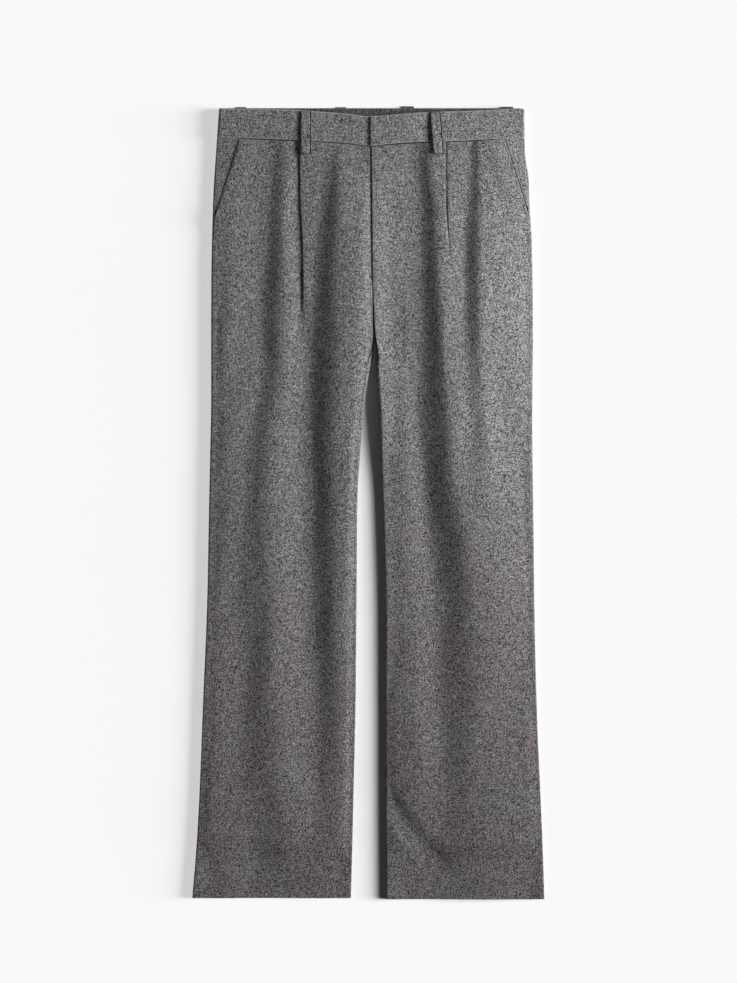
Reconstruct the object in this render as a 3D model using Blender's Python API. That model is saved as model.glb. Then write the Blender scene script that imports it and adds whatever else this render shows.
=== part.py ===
"""Pleated dress trousers, laid flat on their back with the front upwards.

Tables and helpers are in millimetres, and a mesh is made in metres at the very end.
across: from the middle line of the garment, + towards the wearer's left, which is +X.
down:   from the tops of the belt loops towards the hems, which is -Y.
aside:  from the middle line towards the side seam of either leg, so + on both legs.
Each piece of cloth is a grid of points through the middle of its wall, given its thickness by wall().
"""

from collections import namedtuple

import bmesh
import bpy
import numpy as np

MM = 0.001
LENGTH = 1054.5  # from the tops of the belt loops to the lower hem

CLOTH = 1.2  # wall of one layer of wool flannel
BAND = 2.6  # waistband: two layers and the canvas between them
LOOP = 1.4  # belt loop: a narrow strip, folded in three and pressed
LOOP_WIDTH = 14.6
TURN_UP = 0.8  # what the hem's turned-up layer adds inside the leg
TURN_UP_DEPTH = 38.0
HEM_RISE_END = LENGTH - TURN_UP_DEPTH
GAP = 0.3  # between two pieces at a seam
TUBE_GAP = 0.45  # between front and back along the side seam and the inside leg, where both are curved

REST = 2.3  # a front panel's mid-wall where it lies on the back panel
SEAM_HEIGHT = 5.2  # mid-wall of the front panel along the side seam and the inside leg
CENTRE_HEIGHT = 3.4  # mid-wall of both fronts along the centre front seam
HEM_RISE = 5.4  # how much higher the front lies at the hem, where the doubled cloth holds the leg open
HEM_RISE_START = 930.0
BACK_HEIGHT = CLOTH / 2  # mid-wall of a back panel, flat on what it lies on
LOOP_CLEARANCE = LOOP + GAP  # room under the back of the waist for the belt loops that lie there
BAND_BACK_HEIGHT = LOOP_CLEARANCE + BAND / 2
BAND_FRONT_HEIGHT = 6.5

LAYER_STEP = 1.6  # mid-wall to mid-wall where one layer lies on another
FLY_STEP = 2.4  # how much higher the left front lies there, over the zip's tapes as well
FLY_UNDERLAP = 14.0  # how far the right front goes on under the fly
FLY_RETREAT = 167.0  # where the underlap starts to narrow
FLY_END = 212.0  # where the fly stops and the centre seam goes on
FLY_LOW = 250.0  # where its step is gone
FLY_MARGIN = 3.0  # how far past the underlap the step stays whole
FLY_FADE = 38.0  # how far beside the underlap the step takes to fade
BAND_EDGE = 2.9  # the left end of the waistband's front, flush with the edge of the fly
BAND_UNDERLAP = 40.0
BAND_STEP = 2.3  # how much higher the waistband's left end lies on its underlap
BAND_DROP = 0.6  # and how much lower the underlap lies, from where it goes under
BAND_DROP_START = -16.0
BAND_STEP_FADE = (8.0, 45.0)  # where the step fades, measured past the underlap
POCKET_UNDERLAP = 12.0  # how far a pocket facing goes on under the front
POCKET_MARGIN = 2.0  # how far past the facing's hidden edge the front still lies over it
POCKET_FADE = 20.0
SLANT_JOIN = 8.0  # how far below the slant the front takes to reach the side seam
POCKET_END_FADE = 24.0
CROTCH_START = 306.0
CROTCH_END = 352.0
CROTCH_LEAD = 6.0  # the front panels draw apart this much sooner than the back ones
EDGE_SLOPE = 28.0  # how far in from a seam the front comes down or up to the seam's height
EDGE_SHOULDER = 11.0

Section = namedtuple("Section", "down side inner")
Fold = namedtuple("Fold", "down crest height right left lean")
Pleat = namedtuple("Pleat", "down edge depth turn bend keep")
Line = namedtuple("Line", "down across")
Band = namedtuple("Band", "across top seam")
Leg = namedtuple("Leg", "name sign sections folds pleat slant")

# The two legs' outlines: the fold of the cloth at the side, and the centre seam and inside leg.
RIGHT_SECTIONS = [
    Section(3, -198.1, 4.0),
    Section(59, -202.1, 4.3),
    Section(125, -206.1, 5.0),
    Section(238, -208.6, 5.8),
    Section(298, -208.8, 7.7),
    Section(318, -208.8, 8.0),
    Section(338, -208.8, 4.2),
    Section(364, -208.7, -0.3),
    Section(398, -208.8, -5.0),
    Section(457, -210.0, -10.3),
    Section(524, -211.4, -14.3),
    Section(656, -214.0, -15.4),
    Section(789, -219.4, -16.7),
    Section(922, -224.7, -19.6),
    Section(988, -228.6, -21.2),
    Section(1053, -234.0, -22.9),
]
LEFT_SECTIONS = [
    Section(3, 207.4, 4.0),
    Section(59, 208.1, 4.3),
    Section(99, 213.4, 4.8),
    Section(125, 214.2, 5.0),
    Section(179, 217.4, 5.4),
    Section(238, 218.6, 5.8),
    Section(298, 219.2, 7.7),
    Section(318, 219.2, 8.9),
    Section(351, 218.8, 10.3),
    Section(417, 218.0, 14.3),
    Section(471, 218.6, 16.5),
    Section(567, 219.8, 20.4),
    Section(683, 221.2, 22.9),
    Section(822, 224.8, 22.9),
    Section(922, 229.3, 23.1),
    Section(1021, 233.2, 23.8),
    Section(1055, 234.2, 24.2),
]

# The large soft folds. Each is a ridge along a crest line, with its own width on each side, where
# right and left are the wearer's. A lean over 1 makes the right flank steep at its foot, under 1 at
# its crest.
RIGHT_FOLDS = {
    "side": [
        Fold(46, -181, 2.0, 40, 35, 1),
        Fold(125, -184, 3.0, 35, 40, 1),
        Fold(258, -185, 5.0, 32, 45, 1),
        Fold(391, -185, 6.5, 32, 56, 1),
        Fold(524, -187, 6.0, 32, 58, 1),
        Fold(656, -194, 4.5, 32, 58, 1),
        Fold(789, -203, 3.0, 29, 50, 1),
        Fold(922, -205, 3.0, 32, 42, 1),
        Fold(988, -199, 4.5, 40, 40, 1),
        Fold(1055, -189, 2.5, 48, 40, 1),
    ],
    "thigh": [
        Fold(46, -109, 2.0, 19, 16, 1),
        Fold(125, -111, 4.0, 23, 17, 1),
        Fold(205, -113, 5.5, 25, 21, 1),
        Fold(285, -113, 7.0, 32, 32, 1),
        Fold(338, -116, 7.5, 29, 37, 1),
        Fold(391, -124, 8.0, 32, 41, 1),
        Fold(457, -129, 9.0, 37, 48, 1),
        Fold(590, -130, 9.5, 45, 50, 1),
        Fold(723, -126, 8.5, 50, 50, 1),
        Fold(856, -120, 7.0, 56, 53, 1),
        Fold(982, -104, 5.0, 56, 58, 1),
        Fold(1055, -85, 1.0, 56, 58, 1),
    ],
    "crease": [
        Fold(46, -40, 1.5, 21, 40, 1),
        Fold(79, -40, 3.0, 24, 40, 1),
        Fold(125, -31, 5.5, 40, 42, 1.2),
        Fold(179, -31, 8.0, 45, 45, 1.3),
        Fold(232, -28, 10.5, 50, 48, 1.5),
        Fold(285, -26, 12.0, 56, 48, 1.6),
        Fold(391, -30, 12.5, 56, 42, 1.6),
        Fold(457, -34, 12.0, 50, 40, 1.5),
        Fold(524, -36, 11.0, 46, 37, 1.4),
        Fold(656, -37, 10.0, 42, 35, 1.1),
        Fold(789, -37, 7.0, 35, 32, 1),
        Fold(922, -40, 3.5, 35, 35, 1),
        Fold(1055, -51, 1.5, 48, 48, 1),
    ],
}
LEFT_FOLDS = {
    "crease": [
        Fold(46, 79, 3.0, 19, 29, 1),
        Fold(79, 82, 5.0, 21, 37, 1),
        Fold(125, 87, 6.5, 27, 45, 1),
        Fold(179, 93, 8.5, 32, 45, 1),
        Fold(232, 98, 10.5, 37, 45, 0.9),
        Fold(285, 101, 12.0, 38, 48, 0.8),
        Fold(338, 103, 13.0, 42, 56, 0.8),
        Fold(391, 107, 14.0, 48, 66, 0.85),
        Fold(457, 114, 15.0, 53, 88, 0.9),
        Fold(524, 124, 16.0, 56, 106, 1),
        Fold(590, 136, 16.5, 58, 106, 1),
        Fold(656, 146, 16.0, 61, 101, 1),
        Fold(789, 148, 13.0, 61, 101, 1),
        Fold(922, 143, 10.5, 64, 106, 1),
        Fold(1002, 152, 8.0, 80, 93, 1),
        Fold(1055, 156, 6.0, 80, 88, 1),
    ],
    "hip": [
        Fold(46, 150, 4.5, 16, 80, 1),
        Fold(125, 152, 8.0, 24, 88, 1),
        Fold(179, 152, 9.5, 27, 93, 1),
        Fold(285, 154, 9.5, 29, 98, 1),
        Fold(338, 155, 8.0, 29, 98, 1),
        Fold(391, 156, 5.5, 29, 93, 1),
        Fold(457, 159, 2.5, 29, 80, 1),
        Fold(537, 162, 0.0, 29, 66, 1),
    ],
    "inside leg": [
        Fold(298, 42, 0.0, 45, 19, 1),
        Fold(391, 45, 2.0, 45, 21, 1),
        Fold(524, 50, 3.5, 48, 29, 1),
        Fold(656, 55, 4.0, 53, 35, 1),
        Fold(789, 61, 4.5, 58, 37, 1),
        Fold(869, 66, 4.5, 61, 40, 1),
        Fold(935, 69, 4.0, 53, 40, 1),
        Fold(988, 47, 1.5, 37, 40, 1),
        Fold(1055, 39, 0.0, 35, 40, 1),
    ],
}

# A pleat is cloth folded back under itself and back again, open towards the side seam. depth is the
# doubled-back length, turn the angle of each of its two bends in degrees, bend their radius, and keep
# how much of the step is left once the pleat has opened into the leg's own folds.
RIGHT_PLEAT = [
    Pleat(46, -91.4, 18.0, 180, 0.8, 1.0),
    Pleat(125, -90.7, 14.0, 180, 0.8, 1.0),
    Pleat(178, -87.8, 8.0, 180, 0.8, 1.0),
    Pleat(208, -87.1, 2.5, 180, 0.8, 1.0),
    Pleat(224, -87.0, 1.0, 140, 1.0, 1.0),
    Pleat(245, -87.3, 1.0, 80, 2.0, 0.9),
    Pleat(271, -87.9, 2.0, 40, 6.0, 0.7),
    Pleat(311, -86.6, 4.0, 18, 20.0, 0.4),
    Pleat(364, -84.0, 4.0, 9, 45.0, 0.0),
    Pleat(524, -82.6, 4.0, 9, 45.0, 0.0),
    Pleat(789, -74.7, 4.0, 9, 45.0, 0.0),
    Pleat(1055, -66.7, 4.0, 9, 45.0, 0.0),
]
LEFT_PLEAT = [
    Pleat(46, 102.4, 18.0, 180, 0.8, 1.0),
    Pleat(92, 102.8, 14.0, 180, 0.8, 1.0),
    Pleat(125, 103.2, 9.0, 180, 0.8, 1.0),
    Pleat(158, 104.2, 3.0, 180, 0.8, 1.0),
    Pleat(175, 105.0, 1.0, 140, 1.0, 1.0),
    Pleat(195, 106.0, 1.0, 80, 2.0, 0.9),
    Pleat(225, 107.2, 2.0, 40, 6.0, 0.7),
    Pleat(271, 108.0, 4.0, 18, 20.0, 0.4),
    Pleat(320, 109.0, 4.0, 9, 45.0, 0.0),
    Pleat(524, 126.0, 4.0, 9, 45.0, 0.0),
    Pleat(683, 146.0, 4.0, 9, 45.0, 0.0),
    Pleat(1055, 148.0, 4.0, 9, 45.0, 0.0),
]

PLEAT_MARGIN = 2.0  # how far past the doubled cloth the sheet on top stays lifted
PLEAT_FADE = 26.0

RIGHT_SLANT = [Line(42, -170.5), Line(48.5, -172.2), Line(140, -201.0)]
LEFT_SLANT = [Line(42, 180.0), Line(53.8, 183.5), Line(136, 209.8)]

# The front of the waistband: its top edge and the seam under it.
BAND_FRONT = [
    Band(-198.1, 3.7, 42.5),
    Band(-143.7, 4.6, 43.9),
    Band(-94.6, 5.8, 46.2),
    Band(-64.0, 8.0, 47.5),
    Band(-30.9, 10.6, 49.5),
    Band(3.7, 14.3, 53.4),
    Band(28.9, 12.6, 50.8),
    Band(55.4, 10.0, 48.7),
    Band(101.9, 7.8, 47.6),
    Band(148.3, 6.4, 45.4),
    Band(207.4, 3.3, 43.1),
]
BAND_BACK_TOP = 3.0
BAND_BACK_SEAM = 42.8

# Belt loops on the front: middle line at the top and at the bottom end. Those on the back lie flat.
FRONT_LOOPS = {
    "belt_loop_front_right": (Line(7.2, -83.4), Line(64.4, -83.4)),
    "belt_loop_front_left": (Line(8.8, 88.5), Line(64.9, 92.9)),
}
BACK_LOOPS = {
    "belt_loop_side_right": Line(1.3, -169.6),
    "belt_loop_back_right": Line(1.5, -36.8),
    "belt_loop_back_left": Line(0.3, 53.4),
    "belt_loop_side_left": Line(0.9, 185.2),
}
BACK_LOOP_END = 60.0
BACK_RISE = (63.0, 90.0)  # where the back panels come down from the belt loops under them
LOOP_BOW = 1.2  # how far a loop stands off the waistband at its middle

RIGHT_HEM = 1052.7
LEFT_HEM = 1054.2

# Where the sections through the panels are taken.
FRONT_STATIONS = [
    48, 58, 74, 94, 116, 138, 152, 168, 186, 204, 218, 232, 250, 272, 292, 306, 318,
    330, 342, 356, 374, 396, 430, 480, 540, 620, 700, 780, 860, 925, 975, 1014, 1018, 1053,
]
BACK_STATIONS = [
    43, 58, 74, 94, 116, 138, 186, 250, 306, 318, 330, 342, 356,
    374, 396, 430, 480, 540, 700, 860, 975, 1014, 1018, 1053,
]
TOP_SHEET = [0, 0.03, 0.08, 0.15, 0.23, 0.32, 0.41, 0.50, 0.59, 0.68, 0.77, 0.86, 0.94]
LOW_SHEET = [0.06, 0.14, 0.23, 0.32, 0.41, 0.50, 0.59, 0.68, 0.77, 0.86, 0.94, 1]
BEND_STEPS = 3
ROLL_STEPS = 4
FLAT_SHARES = (0.2, 0.4, 0.6, 0.8)
BAND_SHARES = (0, 0.08, 0.5, 0.92, 1)
LEVEL_END = 120  # the sections follow the waistband's seam above here
HEM_START = 950  # and follow the hem below here

RIGHT = Leg("right", -1, RIGHT_SECTIONS, RIGHT_FOLDS, RIGHT_PLEAT, RIGHT_SLANT)
LEFT = Leg("left", 1, LEFT_SECTIONS, LEFT_FOLDS, LEFT_PLEAT, LEFT_SLANT)


def follow(rows, column, down, along="down"):
    """The smooth line through one column of a table, which never overshoots between two rows."""
    x = np.array([getattr(row, along) for row in rows], float)
    y = np.array([getattr(row, column) for row in rows], float)
    step = np.diff(x)
    slope = np.diff(y) / step
    tangent = np.zeros(len(x))
    tangent[[0, -1]] = slope[[0, -1]]
    for i in range(1, len(x) - 1):
        if slope[i - 1] * slope[i] > 0:
            before, after = 2 * step[i] + step[i - 1], step[i] + 2 * step[i - 1]
            tangent[i] = (before + after) / (before / slope[i - 1] + after / slope[i])
    place = np.clip(np.asarray(down, float), x[0], x[-1])
    i = np.clip(np.searchsorted(x, place, side="right") - 1, 0, len(x) - 2)
    t = (place - x[i]) / step[i]
    start = y[i] * (1 + 2 * t) * (1 - t) ** 2 + tangent[i] * step[i] * t * (1 - t) ** 2
    end = y[i + 1] * t * t * (3 - 2 * t) + tangent[i + 1] * step[i] * t * t * (t - 1)
    return start + end


def smooth(value, start, end):
    """0 before start, 1 after end, and a soft change between them."""
    t = np.clip((value - start) / (end - start), 0, 1)
    return t * t * (3 - 2 * t)


def bell(t):
    """1 at 0, falling softly to 0 at 1."""
    return 0.5 * (1 + np.cos(np.pi * np.clip(np.abs(t), 0, 1)))


def band_seam(across):
    return follow(BAND_FRONT, "seam", across, "across")


def back_height(down):
    """The back panels rise over the belt loops that lie under the back of the waist."""
    return BACK_HEIGHT + LOOP_CLEARANCE * (1 - smooth(down, *BACK_RISE))


def roll_radius(down):
    return (SEAM_HEIGHT - back_height(down)) / 2


def open_leg(down):
    """0 above the crotch, where the legs join at the centre seam, and 1 where each leg is a tube."""
    return smooth(down, CROTCH_START, CROTCH_END)


def front_side(leg, down):
    """Where the front panel ends at the side: the slant of the pocket, then the side seam."""
    seam = side_seam(leg, down)
    slant = leg.sign * follow(leg.slant, "across", down)
    end = leg.slant[-1].down
    return slant + (seam - slant) * smooth(down, end, end + SLANT_JOIN)


def side_seam(leg, down):
    outline = leg.sign * follow(leg.sections, "side", down)
    return outline - roll_radius(down) - CLOTH / 2 - TUBE_GAP


def front_inner(leg, down):
    """Where the front panel ends at the centre seam, under the fly, or along the inside leg."""
    inner = leg.sign * follow(leg.sections, "inner", down)
    tube = roll_radius(down) + CLOTH / 2 + TUBE_GAP
    edge = inner + GAP / 2 + (tube - GAP / 2) * open_leg(down + CROTCH_LEAD)
    if leg is RIGHT:
        edge = edge - FLY_UNDERLAP * (1 - smooth(down, FLY_RETREAT, FLY_END))
    return edge


def ridges(leg, across, down):
    height = np.zeros(np.broadcast(across, down).shape)
    for rows in leg.folds.values():
        offset = across - follow(rows, "crest", down)
        to_right = np.clip(-offset / follow(rows, "right", down), 0, 1) ** follow(rows, "lean", down)
        to_left = np.clip(offset / follow(rows, "left", down), 0, 1)
        height = height + follow(rows, "height", down) * bell(np.where(offset < 0, to_right, to_left))
    return height


def lie(leg, across, down):
    """Mid-wall height of a leg's front, with its folds and slopes to the seams, but no pleat or overlap."""
    over_loops = back_height(down) - BACK_HEIGHT
    height = REST + over_loops + ridges(leg, across, down)
    height = height + HEM_RISE * smooth(down, HEM_RISE_START, HEM_RISE_END)
    aside = leg.sign * across
    centre = leg.sign * follow(leg.sections, "inner", down)
    inner_height = CENTRE_HEIGHT + over_loops + (SEAM_HEIGHT - CENTRE_HEIGHT) * open_leg(down)
    for distance, target in ((side_seam(leg, down) - aside, SEAM_HEIGHT), (aside - centre, inner_height)):
        reach = np.where(height < target, EDGE_SLOPE, EDGE_SHOULDER)
        height = height + (target - height) * bell(np.clip(distance, 0, None) / reach)
    return height


def overlaps(leg, across, down):
    """How much higher the front lies over the pocket facing or, on the left, over the fly's underlap."""
    aside = leg.sign * across
    inside = front_side(leg, down) - aside
    hidden = POCKET_UNDERLAP + POCKET_MARGIN
    pocket = 1 - smooth(inside, hidden, hidden + POCKET_FADE)
    end = leg.slant[-1].down + SLANT_JOIN
    lift = LAYER_STEP * pocket * (1 - smooth(down, end, end + POCKET_END_FADE))
    if leg is LEFT:
        inside = aside - front_inner(leg, down)
        fly = 1 - smooth(inside, FLY_UNDERLAP + FLY_MARGIN, FLY_UNDERLAP + FLY_MARGIN + FLY_FADE)
        lift = lift + FLY_STEP * fly * (1 - smooth(down, FLY_END + FLY_MARGIN, FLY_LOW))
    return lift


def pleat_shape(leg, down):
    """The start, the two bends and the end of the pleat in one section, as (aside, height) arrays."""
    edge = leg.sign * follow(leg.pleat, "edge", down)
    depth = follow(leg.pleat, "depth", down)
    turn = np.radians(follow(leg.pleat, "turn", down))
    bend = follow(leg.pleat, "bend", down)
    start = edge - bend * np.sin(np.minimum(turn, np.pi / 2)) - CLOTH / 2
    drop = 2 * bend * (1 - np.cos(turn)) + depth * np.sin(turn)
    return start, depth, turn, bend, drop


def pleat_point(leg, down, step):
    """One of the points round the pleat: 0 at its upper bend's start, to 2 * BEND_STEPS + 1 at its end."""
    start, depth, turn, bend, drop = pleat_shape(leg, down)
    if step <= BEND_STEPS:
        angle = turn * step / BEND_STEPS
        return start + bend * np.sin(angle), drop - bend * (1 - np.cos(angle))
    angle = turn * (2 * BEND_STEPS + 1 - step) / BEND_STEPS
    aside = start + bend * np.sin(turn) + depth * np.cos(turn) + bend * (np.sin(turn) - np.sin(angle))
    height = drop - bend * (1 - np.cos(turn)) - depth * np.sin(turn) - bend * (np.cos(angle) - np.cos(turn))
    return aside, height


def pleat_cover(leg, aside, down):
    """How much the pleat lifts the sheet that lies on top of it, from 0 to 1."""
    start, depth, turn, bend, drop = pleat_shape(leg, down)
    covered = np.clip(-depth * np.cos(turn), 0, None) + PLEAT_MARGIN
    return 1 - smooth(start - aside, covered, covered + PLEAT_FADE)


def front_point(leg, down, column):
    """(aside, height over lie()) of one column of the front panel's grid."""
    keep = follow(leg.pleat, "keep", down)
    start, depth, turn, bend, drop = pleat_shape(leg, down)
    if column < len(TOP_SHEET):
        inner = front_inner(leg, down)
        aside = inner + (start - inner) * TOP_SHEET[column]
        return aside, keep * drop * pleat_cover(leg, aside, down)
    column -= len(TOP_SHEET)
    if column <= 2 * BEND_STEPS + 1:
        aside, height = pleat_point(leg, down, column)
        return aside, keep * height
    end, height = pleat_point(leg, down, 2 * BEND_STEPS + 1)
    aside = end + (front_side(leg, down) - end) * LOW_SHEET[column - 2 * BEND_STEPS - 2]
    return aside, 0 * aside


def grid_down(station, across, hem):
    """The place of a section along the leg: the first follows the waistband's seam, the last the hem."""
    first, last = FRONT_STATIONS[0], FRONT_STATIONS[-1]
    top = band_seam(across) + GAP - first
    level = 1 - smooth(station, first, LEVEL_END)
    return station + top * level + (hem - last) * smooth(station, HEM_START, last)


def front_grid(leg, hem):
    columns = len(TOP_SHEET) + 2 * BEND_STEPS + 2 + len(LOW_SHEET)
    grid = np.zeros((len(FRONT_STATIONS), columns, 3))
    for row, station in enumerate(FRONT_STATIONS):
        for column in range(columns):
            aside, _ = front_point(leg, float(station), column)
            down = grid_down(station, leg.sign * aside, hem)
            aside, above = front_point(leg, down, column)
            across = leg.sign * aside
            base = lie(leg, across, down)
            if leg is RIGHT and across > follow(leg.sections, "inner", down):
                base = lie(LEFT, across, down)  # under the fly it follows the left front's slope
            grid[row, column] = across, down, base + above + overlaps(leg, across, down)
    return grid


def roll(aside_edge, low, high, outward, thick):
    """A half turn from the lower layer up round a folded edge, as (aside, height) points."""
    radius = (high - low) / 2
    centre = aside_edge - outward * (radius + thick / 2)
    angles = np.linspace(-np.pi / 2, np.pi / 2, ROLL_STEPS + 1)
    return [(centre + outward * radius * np.cos(a), low + radius * (1 + np.sin(a))) for a in angles]


def back_grid(leg, hem):
    grid = []
    for station in BACK_STATIONS:
        down = station + (hem - BACK_STATIONS[-1]) * smooth(station, HEM_START, BACK_STATIONS[-1])
        low = float(back_height(down))
        side = float(leg.sign * follow(leg.sections, "side", down))
        inner = float(leg.sign * follow(leg.sections, "inner", down))
        outer_roll = roll(side, low, SEAM_HEIGHT, 1, CLOTH)
        inner_roll = roll(inner, low, SEAM_HEIGHT, -1, CLOTH)
        share = float(open_leg(down))
        flat = [(inner + GAP / 2 + 6 - i, low) for i in range(ROLL_STEPS + 1)]
        inner_edge = [
            ((1 - share) * a + share * b, (1 - share) * c + share * d)
            for (a, c), (b, d) in zip(flat, inner_roll)
        ]
        start, end = inner_edge[0][0], outer_roll[0][0]
        between = [(start + (end - start) * t, low) for t in FLAT_SHARES]
        section = inner_edge[::-1] + between + outer_roll
        grid.append([(leg.sign * aside, down, height) for aside, height in section])
    return np.array(grid)


def facing_grid(leg):
    """The pocket facing shows between the slant and the side seam, and goes on a little under the front."""
    end = leg.slant[-1].down - 2
    grid = []
    first = BACK_STATIONS[0]
    for station in [station for station in BACK_STATIONS if station < end - 4] + [end]:
        section = []
        for share in np.linspace(0, 1, 6):
            down = float(station)
            seam = side_seam(leg, down)
            hidden = leg.sign * follow(leg.slant, "across", down) - POCKET_UNDERLAP
            across = leg.sign * (hidden + (seam - hidden) * share)
            top = band_seam(across) + GAP
            down = top + (end - top) * (station - first) / (end - first)
            section.append((across, down, lie(leg, across, down)))
        grid.append(section)
    return np.array(grid, float)


def band_height(leg, across):
    """Mid-wall height of the front of the waistband, whose left end lies on the right one's."""
    if leg is RIGHT:
        return BAND_FRONT_HEIGHT - BAND_DROP * smooth(across, BAND_DROP_START, 0)
    start, end = BAND_STEP_FADE
    return BAND_FRONT_HEIGHT + BAND_STEP * (1 - smooth(across, BAND_UNDERLAP + start, BAND_UNDERLAP + end))


def band_front_grid(leg):
    outline = leg.sign * leg.sections[0].side
    radius = (BAND_FRONT_HEIGHT - BAND_BACK_HEIGHT) / 2
    side = leg.sign * (outline - radius - BAND / 2 - GAP)
    fly = BAND_UNDERLAP if leg is RIGHT else BAND_EDGE
    grid = []
    for share in BAND_SHARES:
        section = []
        for across in fly + (side - fly) * np.linspace(0, 1, 19):
            top = follow(BAND_FRONT, "top", across, "across")
            down = top + (band_seam(across) - top) * share
            section.append((across, down, band_height(leg, across)))
        grid.append(section)
    return np.array(grid, float)


def band_back_grid():
    right = roll(-RIGHT_SECTIONS[0].side, BAND_BACK_HEIGHT, BAND_FRONT_HEIGHT, 1, BAND)
    left = roll(LEFT_SECTIONS[0].side, BAND_BACK_HEIGHT, BAND_FRONT_HEIGHT, 1, BAND)
    middle = [(x, BAND_BACK_HEIGHT) for x in np.linspace(-150, 150, 7)]
    section = [(-aside, height) for aside, height in right[::-1]] + middle + left
    grid = []
    for share in BAND_SHARES:
        down = BAND_BACK_TOP + (BAND_BACK_SEAM - BAND_BACK_TOP) * share
        grid.append([(x, down, z) for x, z in section])
    return np.array(grid)


def front_top(leg, across, down):
    """The upper face of what a belt loop lies on: the waistband, then the panel with its pleat."""
    if down < band_seam(across) + GAP:
        return band_height(leg, across) + BAND / 2
    drop = pleat_shape(leg, down)[4]
    cover = pleat_cover(leg, leg.sign * across, down)
    if leg.sign * across > leg.sign * follow(leg.pleat, "edge", down):
        cover = 0
    return lie(leg, across, down) + overlaps(leg, across, down) + drop * cover + CLOTH / 2


def front_loop_grid(leg, top, bottom):
    shares = np.linspace(0, 1, 10)
    reach = np.linspace(-LOOP_WIDTH / 2, LOOP_WIDTH / 2, 5)
    support = []
    for t in shares:
        middle = top.across + (bottom.across - top.across) * t
        down = top.down + (bottom.down - top.down) * t
        support.append(max(front_top(leg, middle + x, down) for x in reach) + GAP + LOOP / 2)
    line = support[0] + (support[-1] - support[0]) * shares + LOOP_BOW * np.sin(np.pi * shares)
    heights = np.maximum(line, support)
    grid = []
    for t, height in zip(shares, heights):
        middle = top.across + (bottom.across - top.across) * t
        down = top.down + (bottom.down - top.down) * t
        grid.append([(middle + x, down, height) for x in reach])
    return np.array(grid, float)


def back_loop_grid(top):
    downs = np.linspace(top.down, BACK_LOOP_END, 5)
    sides = (top.across - LOOP_WIDTH / 2, top.across + LOOP_WIDTH / 2)
    return np.array([[(side, down, LOOP / 2) for side in sides] for down in downs])


def normals(points):
    """The way out of the wall at each point, kept square to the seams along the rim so they meet flush."""
    along = np.gradient(points, axis=0)
    over = np.gradient(points, axis=1)
    normal = np.cross(over, along)
    normal[[0, -1], :, 1] = 0
    normal[:, [0, -1], :2] = 0
    return normal / np.linalg.norm(normal, axis=2, keepdims=True)


def wall(name, grid, thick, material, above=0, below=0):
    """Gives a grid of mid-wall points its thickness, or more above or below, and closes it round its rim."""
    points = grid.copy()
    points[:, :, 1] = LENGTH / 2 - grid[:, :, 1]
    normal = normals(points)
    if normal[:, :, 2].sum() < 0:
        normal = -normal
    upper = points + normal * (thick / 2 + above)
    lower = points - normal * (thick / 2 + below)
    mesh = bmesh.new()
    upper_verts = [[mesh.verts.new(point * MM) for point in row] for row in upper]
    lower_verts = [[mesh.verts.new(point * MM) for point in row] for row in lower]
    rows, columns = grid.shape[:2]
    for r in range(rows - 1):
        for c in range(columns - 1):
            for verts in (upper_verts, lower_verts):
                mesh.faces.new((verts[r][c], verts[r][c + 1], verts[r + 1][c + 1], verts[r + 1][c]))
    rim = [(0, c) for c in range(columns)] + [(r, columns - 1) for r in range(1, rows)]
    rim += [(rows - 1, c) for c in range(columns - 2, -1, -1)] + [(r, 0) for r in range(rows - 2, 0, -1)]
    for (r, c), (next_r, next_c) in zip(rim, rim[1:] + rim[:1]):
        upper_pair = upper_verts[r][c], upper_verts[next_r][next_c]
        lower_pair = lower_verts[next_r][next_c], lower_verts[r][c]
        mesh.faces.new(upper_pair + lower_pair)
    bmesh.ops.recalc_face_normals(mesh, faces=mesh.faces)
    data = bpy.data.meshes.new(name)
    mesh.to_mesh(data)
    mesh.free()
    data.materials.append(material)
    data.shade_smooth()
    data.set_sharp_from_angle(angle=np.radians(50))
    piece = bpy.data.objects.new(name, data)
    bpy.context.collection.objects.link(piece)
    return piece


def turn_up(grid, hem):
    """The doubled cloth inside the hem."""
    return TURN_UP * (grid[:, :, 1:2] > hem - TURN_UP_DEPTH)


def flannel(name, color):
    """Grey wool flannel: matt, with no metal."""
    material = bpy.data.materials.new(name)
    material.use_nodes = True
    shader = material.node_tree.nodes["Principled BSDF"]
    shader.inputs["Base Color"].default_value = (*color, 1)
    shader.inputs["Roughness"].default_value = 0.92
    shader.inputs["Metallic"].default_value = 0.0
    return material


def main():
    for item in list(bpy.data.objects):
        bpy.data.objects.remove(item)
    shades = (0.110, 0.108, 0.109), (0.130, 0.128, 0.129), (0.085, 0.083, 0.084)
    panel, band, inner = (flannel(f"wool_flannel_{i}", shade) for i, shade in enumerate(shades))
    for leg, hem in ((RIGHT, RIGHT_HEM), (LEFT, LEFT_HEM)):
        front = front_grid(leg, hem)
        back = back_grid(leg, hem)
        wall(f"front_panel_{leg.name}", front, CLOTH, panel, below=turn_up(front, hem))
        wall(f"back_panel_{leg.name}", back, CLOTH, inner, above=turn_up(back, hem))
        wall(f"pocket_facing_{leg.name}", facing_grid(leg), CLOTH, inner)
        wall(f"waistband_front_{leg.name}", band_front_grid(leg), BAND, band)
    wall("waistband_back", band_back_grid(), BAND, inner)
    for name, (top, bottom) in FRONT_LOOPS.items():
        leg = RIGHT if top.across < 0 else LEFT
        wall(name, front_loop_grid(leg, top, bottom), LOOP, band)
    for name, top in BACK_LOOPS.items():
        wall(name, back_loop_grid(top), LOOP, band)


main()
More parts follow.
